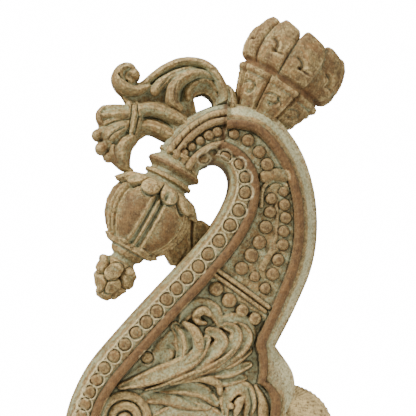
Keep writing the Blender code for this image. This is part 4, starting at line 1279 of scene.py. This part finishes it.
def dress(obj, node_name, amount=None, tint=None, bare=False):
    """Gives a piece its finish and its place on the frame. A bare piece has the paler wood."""
    settings = bpy.context.scene.bracket_finish
    amount = settings.paint_left if amount is None else amount
    tint = tuple(settings.paint_bright) if tint is None else tint
    colours = finish_colours(settings)
    if bare:
        colours.update(wood=colours["worn"], warm=colours["worn"])
    obj.data.materials.clear()
    obj.data.materials.append(wood_finish(obj.name + "_finish", colours, amount, tint, shared_groups()))
    alone(obj)
    bpy.ops.object.shade_smooth_by_angle(angle=SHARP)
    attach(obj, "root")
    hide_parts(node_name)


def colour_property(name, description, value):
    return bpy.props.FloatVectorProperty(name=name, description=description, default=value, subtype="COLOR",
                                         min=0, max=1, size=3)


class BracketFinish(bpy.types.PropertyGroup):
    """Colours of the wood and of its paint, as display values."""

    wood: colour_property("Wood", "Bare weathered wood", (0.56, 0.48, 0.30))
    # The dark grain colour also serves as painted shade in the broad hollows, and for dark specks.
    dark: colour_property("Dark grain", "Darker streaks of the wood", (0.29, 0.22, 0.12))
    warm: colour_property("Warm", "Orange-brown where the wood is rubbed bare", (0.55, 0.40, 0.22))
    ruddy: colour_property("Ruddy", "Rims and studs rubbed with red earth", (0.42, 0.29, 0.155))
    ruddy_dark: colour_property("Ruddy dark", "Darker streaks on rims and studs", (0.27, 0.17, 0.085))
    paint: colour_property("Paint", "Old grey-green paint", (0.54, 0.50, 0.34))
    paint_bright: colour_property("Bright paint", "Paint where it is freshest", (0.65, 0.68, 0.53))
    worn: colour_property("Worn edge", "Wood polished on the ridges", (0.77, 0.67, 0.46))
    cream: colour_property("Cream", "Pale lines round the studs", (0.82, 0.77, 0.59))
    # The crevice colour stands for dirt and painted shade in the deepest cuts.
    crevice: colour_property("Crevice", "Dirt in the deepest cuts", (0.19, 0.13, 0.07))
    paint_left: bpy.props.FloatProperty(name="Paint left", description="How much of the paint is left",
                                        default=0.3, min=-1, max=1)


def length_property(name, description, value, least, most):
    return bpy.props.FloatProperty(name=name, description=description, default=value, min=least, max=most,
                                   subtype="DISTANCE", unit="LENGTH", precision=4)


class BracketSizes(bpy.types.PropertyGroup):
    """Sizes of the carving."""

    rim_rise: length_property("Rim rise", "How far the rims stand out of the face", 0.0066, 0.001, 0.012)
    stud_rise: length_property("Stud rise", "How far the panel's studs stand out", 0.0063, 0.001, 0.012)
    leaf_rise: length_property("Leaf rise", "How far the panel's main leaves stand out", 0.0135, 0.002, 0.016)
    tool_marks: length_property("Tool marks", "Depth of the unevenness that the tools left", 0.0004, 0, 0.002)
    cell: length_property("Cell", "Size of the smallest faces of the carved neck", 0.001125, 0.001, 0.004)


class BRACKET_OT_neck(bpy.types.Operator):
    """Carve the neck with its rims, studs and leaves"""

    bl_idname = "bracket.neck"
    bl_label = "Neck"

    def execute(self, context):
        dress(make_neck(), "crowned_neck")
        return {"FINISHED"}


class BRACKET_OT_crown(bpy.types.Operator):
    """Carve the crown of leaves"""

    bl_idname = "bracket.crown"
    bl_label = "Crown"

    def execute(self, context):
        dress(make_crown(), "crowned_neck", amount=0.02)
        return {"FINISHED"}


class BRACKET_OT_scroll(bpy.types.Operator):
    """Carve the rounded scroll at the foot"""

    bl_idname = "bracket.scroll"
    bl_label = "Foot scroll"

    def execute(self, context):
        dress(make_scroll(), "crowned_neck", amount=0.0, bare=True)
        return {"FINISHED"}


class BRACKET_OT_arch(bpy.types.Operator):
    """Carve the end of the arch, and the block behind the bud"""

    bl_idname = "bracket.arch"
    bl_label = "Arch"

    def execute(self, context):
        dress(make_arch(), "bud_arm")
        dress(make_seat(), "bud_arm", amount=-0.1)
        return {"FINISHED"}


class BRACKET_OT_bud(bpy.types.Operator):
    """Turn and carve the collar, the bud and its finial"""

    bl_idname = "bracket.bud"
    bl_label = "Bud"

    def execute(self, context):
        dress(make_bud(), "bud_arm")
        return {"FINISHED"}


class BRACKET_OT_foliage(bpy.types.Operator):
    """Carve the curled leaf, and the stem with its flower"""

    bl_idname = "bracket.foliage"
    bl_label = "Leaf and flower"

    def execute(self, context):
        dress(make_leaf(), "bud_arm", amount=0.34)
        dress(make_flower(), "bud_arm", amount=0.3)
        return {"FINISHED"}


class BRACKET_OT_stage(bpy.types.Operator):
    """Set the pale floor, the soft light and the camera"""

    bl_idname = "bracket.stage"
    bl_label = "Stage"

    def execute(self, context):
        scene = context.scene
        alone()
        bpy.ops.mesh.primitive_plane_add(size=FLOOR_SIZE, location=(0, 0, -FLOOR_DROP))
        floor = added("floor")
        bpy.ops.object.transform_apply(location=True)
        pale = bpy.data.materials.new("floor_finish")
        pale.use_nodes = True
        shader = pale.node_tree.nodes["Principled BSDF"]
        shader.inputs["Base Color"].default_value = (0.9, 0.9, 0.9, 1)
        shader.inputs["Roughness"].default_value = 0.9
        floor.data.materials.append(pale)
        target = place(MIDDLE, MIDDLE)
        for name, spot, size, power in LIGHTS:
            bpy.ops.object.light_add(type="AREA", location=spot)
            light = bpy.context.active_object
            light.name = name
            light.data.size = size
            light.data.energy = power
            light.rotation_euler = (target - light.location).to_track_quat("-Z", "Y").to_euler()
        world = bpy.data.worlds.new("studio")
        world.use_nodes = True
        sky = world.node_tree.nodes["Background"]
        seen = node(world.node_tree, "LightPath").outputs["Is Camera Ray"]
        strength = node(world.node_tree, "MapRange",
                        {"Value": seen, "To Min": ROOM_LIGHT, "To Max": BACKDROP_LIGHT})
        sky.inputs[0].default_value = (1, 1, 1, 1)
        world.node_tree.links.new(strength.outputs[0], sky.inputs[1])
        scene.world = world
        bpy.ops.object.camera_add()
        camera = bpy.context.active_object
        camera.name = "camera"
        level = DISTANCE * math.cos(ELEVATION)
        camera.location = target + Vector((level * math.sin(AZIMUTH), -level * math.cos(AZIMUTH),
                                           DISTANCE * math.sin(ELEVATION)))
        camera.rotation_euler = (target - camera.location).to_track_quat("-Z", "Y").to_euler()
        camera.data.sensor_width = SENSOR
        camera.data.lens = SENSOR * DISTANCE / (VIEW_WIDTH * GRID)
        scene.camera = camera
        return {"FINISHED"}


class BRACKET_PT_panel(bpy.types.Panel):
    """Buttons and colours in the sidebar."""

    bl_label = "Carved Bracket"
    bl_idname = "BRACKET_PT_panel"
    bl_space_type = "VIEW_3D"
    bl_region_type = "UI"
    bl_category = "Bracket"

    def draw(self, context):
        for operator in OPERATORS:
            self.layout.operator(operator.bl_idname)
        for settings in (context.scene.bracket_sizes, context.scene.bracket_finish):
            for key in type(settings).__annotations__:
                self.layout.prop(settings, key)


OPERATORS = (BRACKET_OT_stage, BRACKET_OT_neck, BRACKET_OT_crown, BRACKET_OT_scroll, BRACKET_OT_arch,
             BRACKET_OT_bud, BRACKET_OT_foliage)
CLASSES = (BracketSizes, BracketFinish, *OPERATORS, BRACKET_PT_panel)


def register():
    for item in CLASSES:
        bpy.utils.register_class(item)
    bpy.types.Scene.bracket_sizes = bpy.props.PointerProperty(type=BracketSizes)
    bpy.types.Scene.bracket_finish = bpy.props.PointerProperty(type=BracketFinish)


def unregister():
    del bpy.types.Scene.bracket_finish
    del bpy.types.Scene.bracket_sizes
    for item in reversed(CLASSES):
        bpy.utils.unregister_class(item)


def main():
    register()
    bpy.ops.bracket.stage()
    bpy.ops.bracket.neck()
    bpy.ops.bracket.crown()
    bpy.ops.bracket.scroll()
    bpy.ops.bracket.arch()
    bpy.ops.bracket.bud()
    bpy.ops.bracket.foliage()
    alone()


if __name__ == "__main__":
    main()
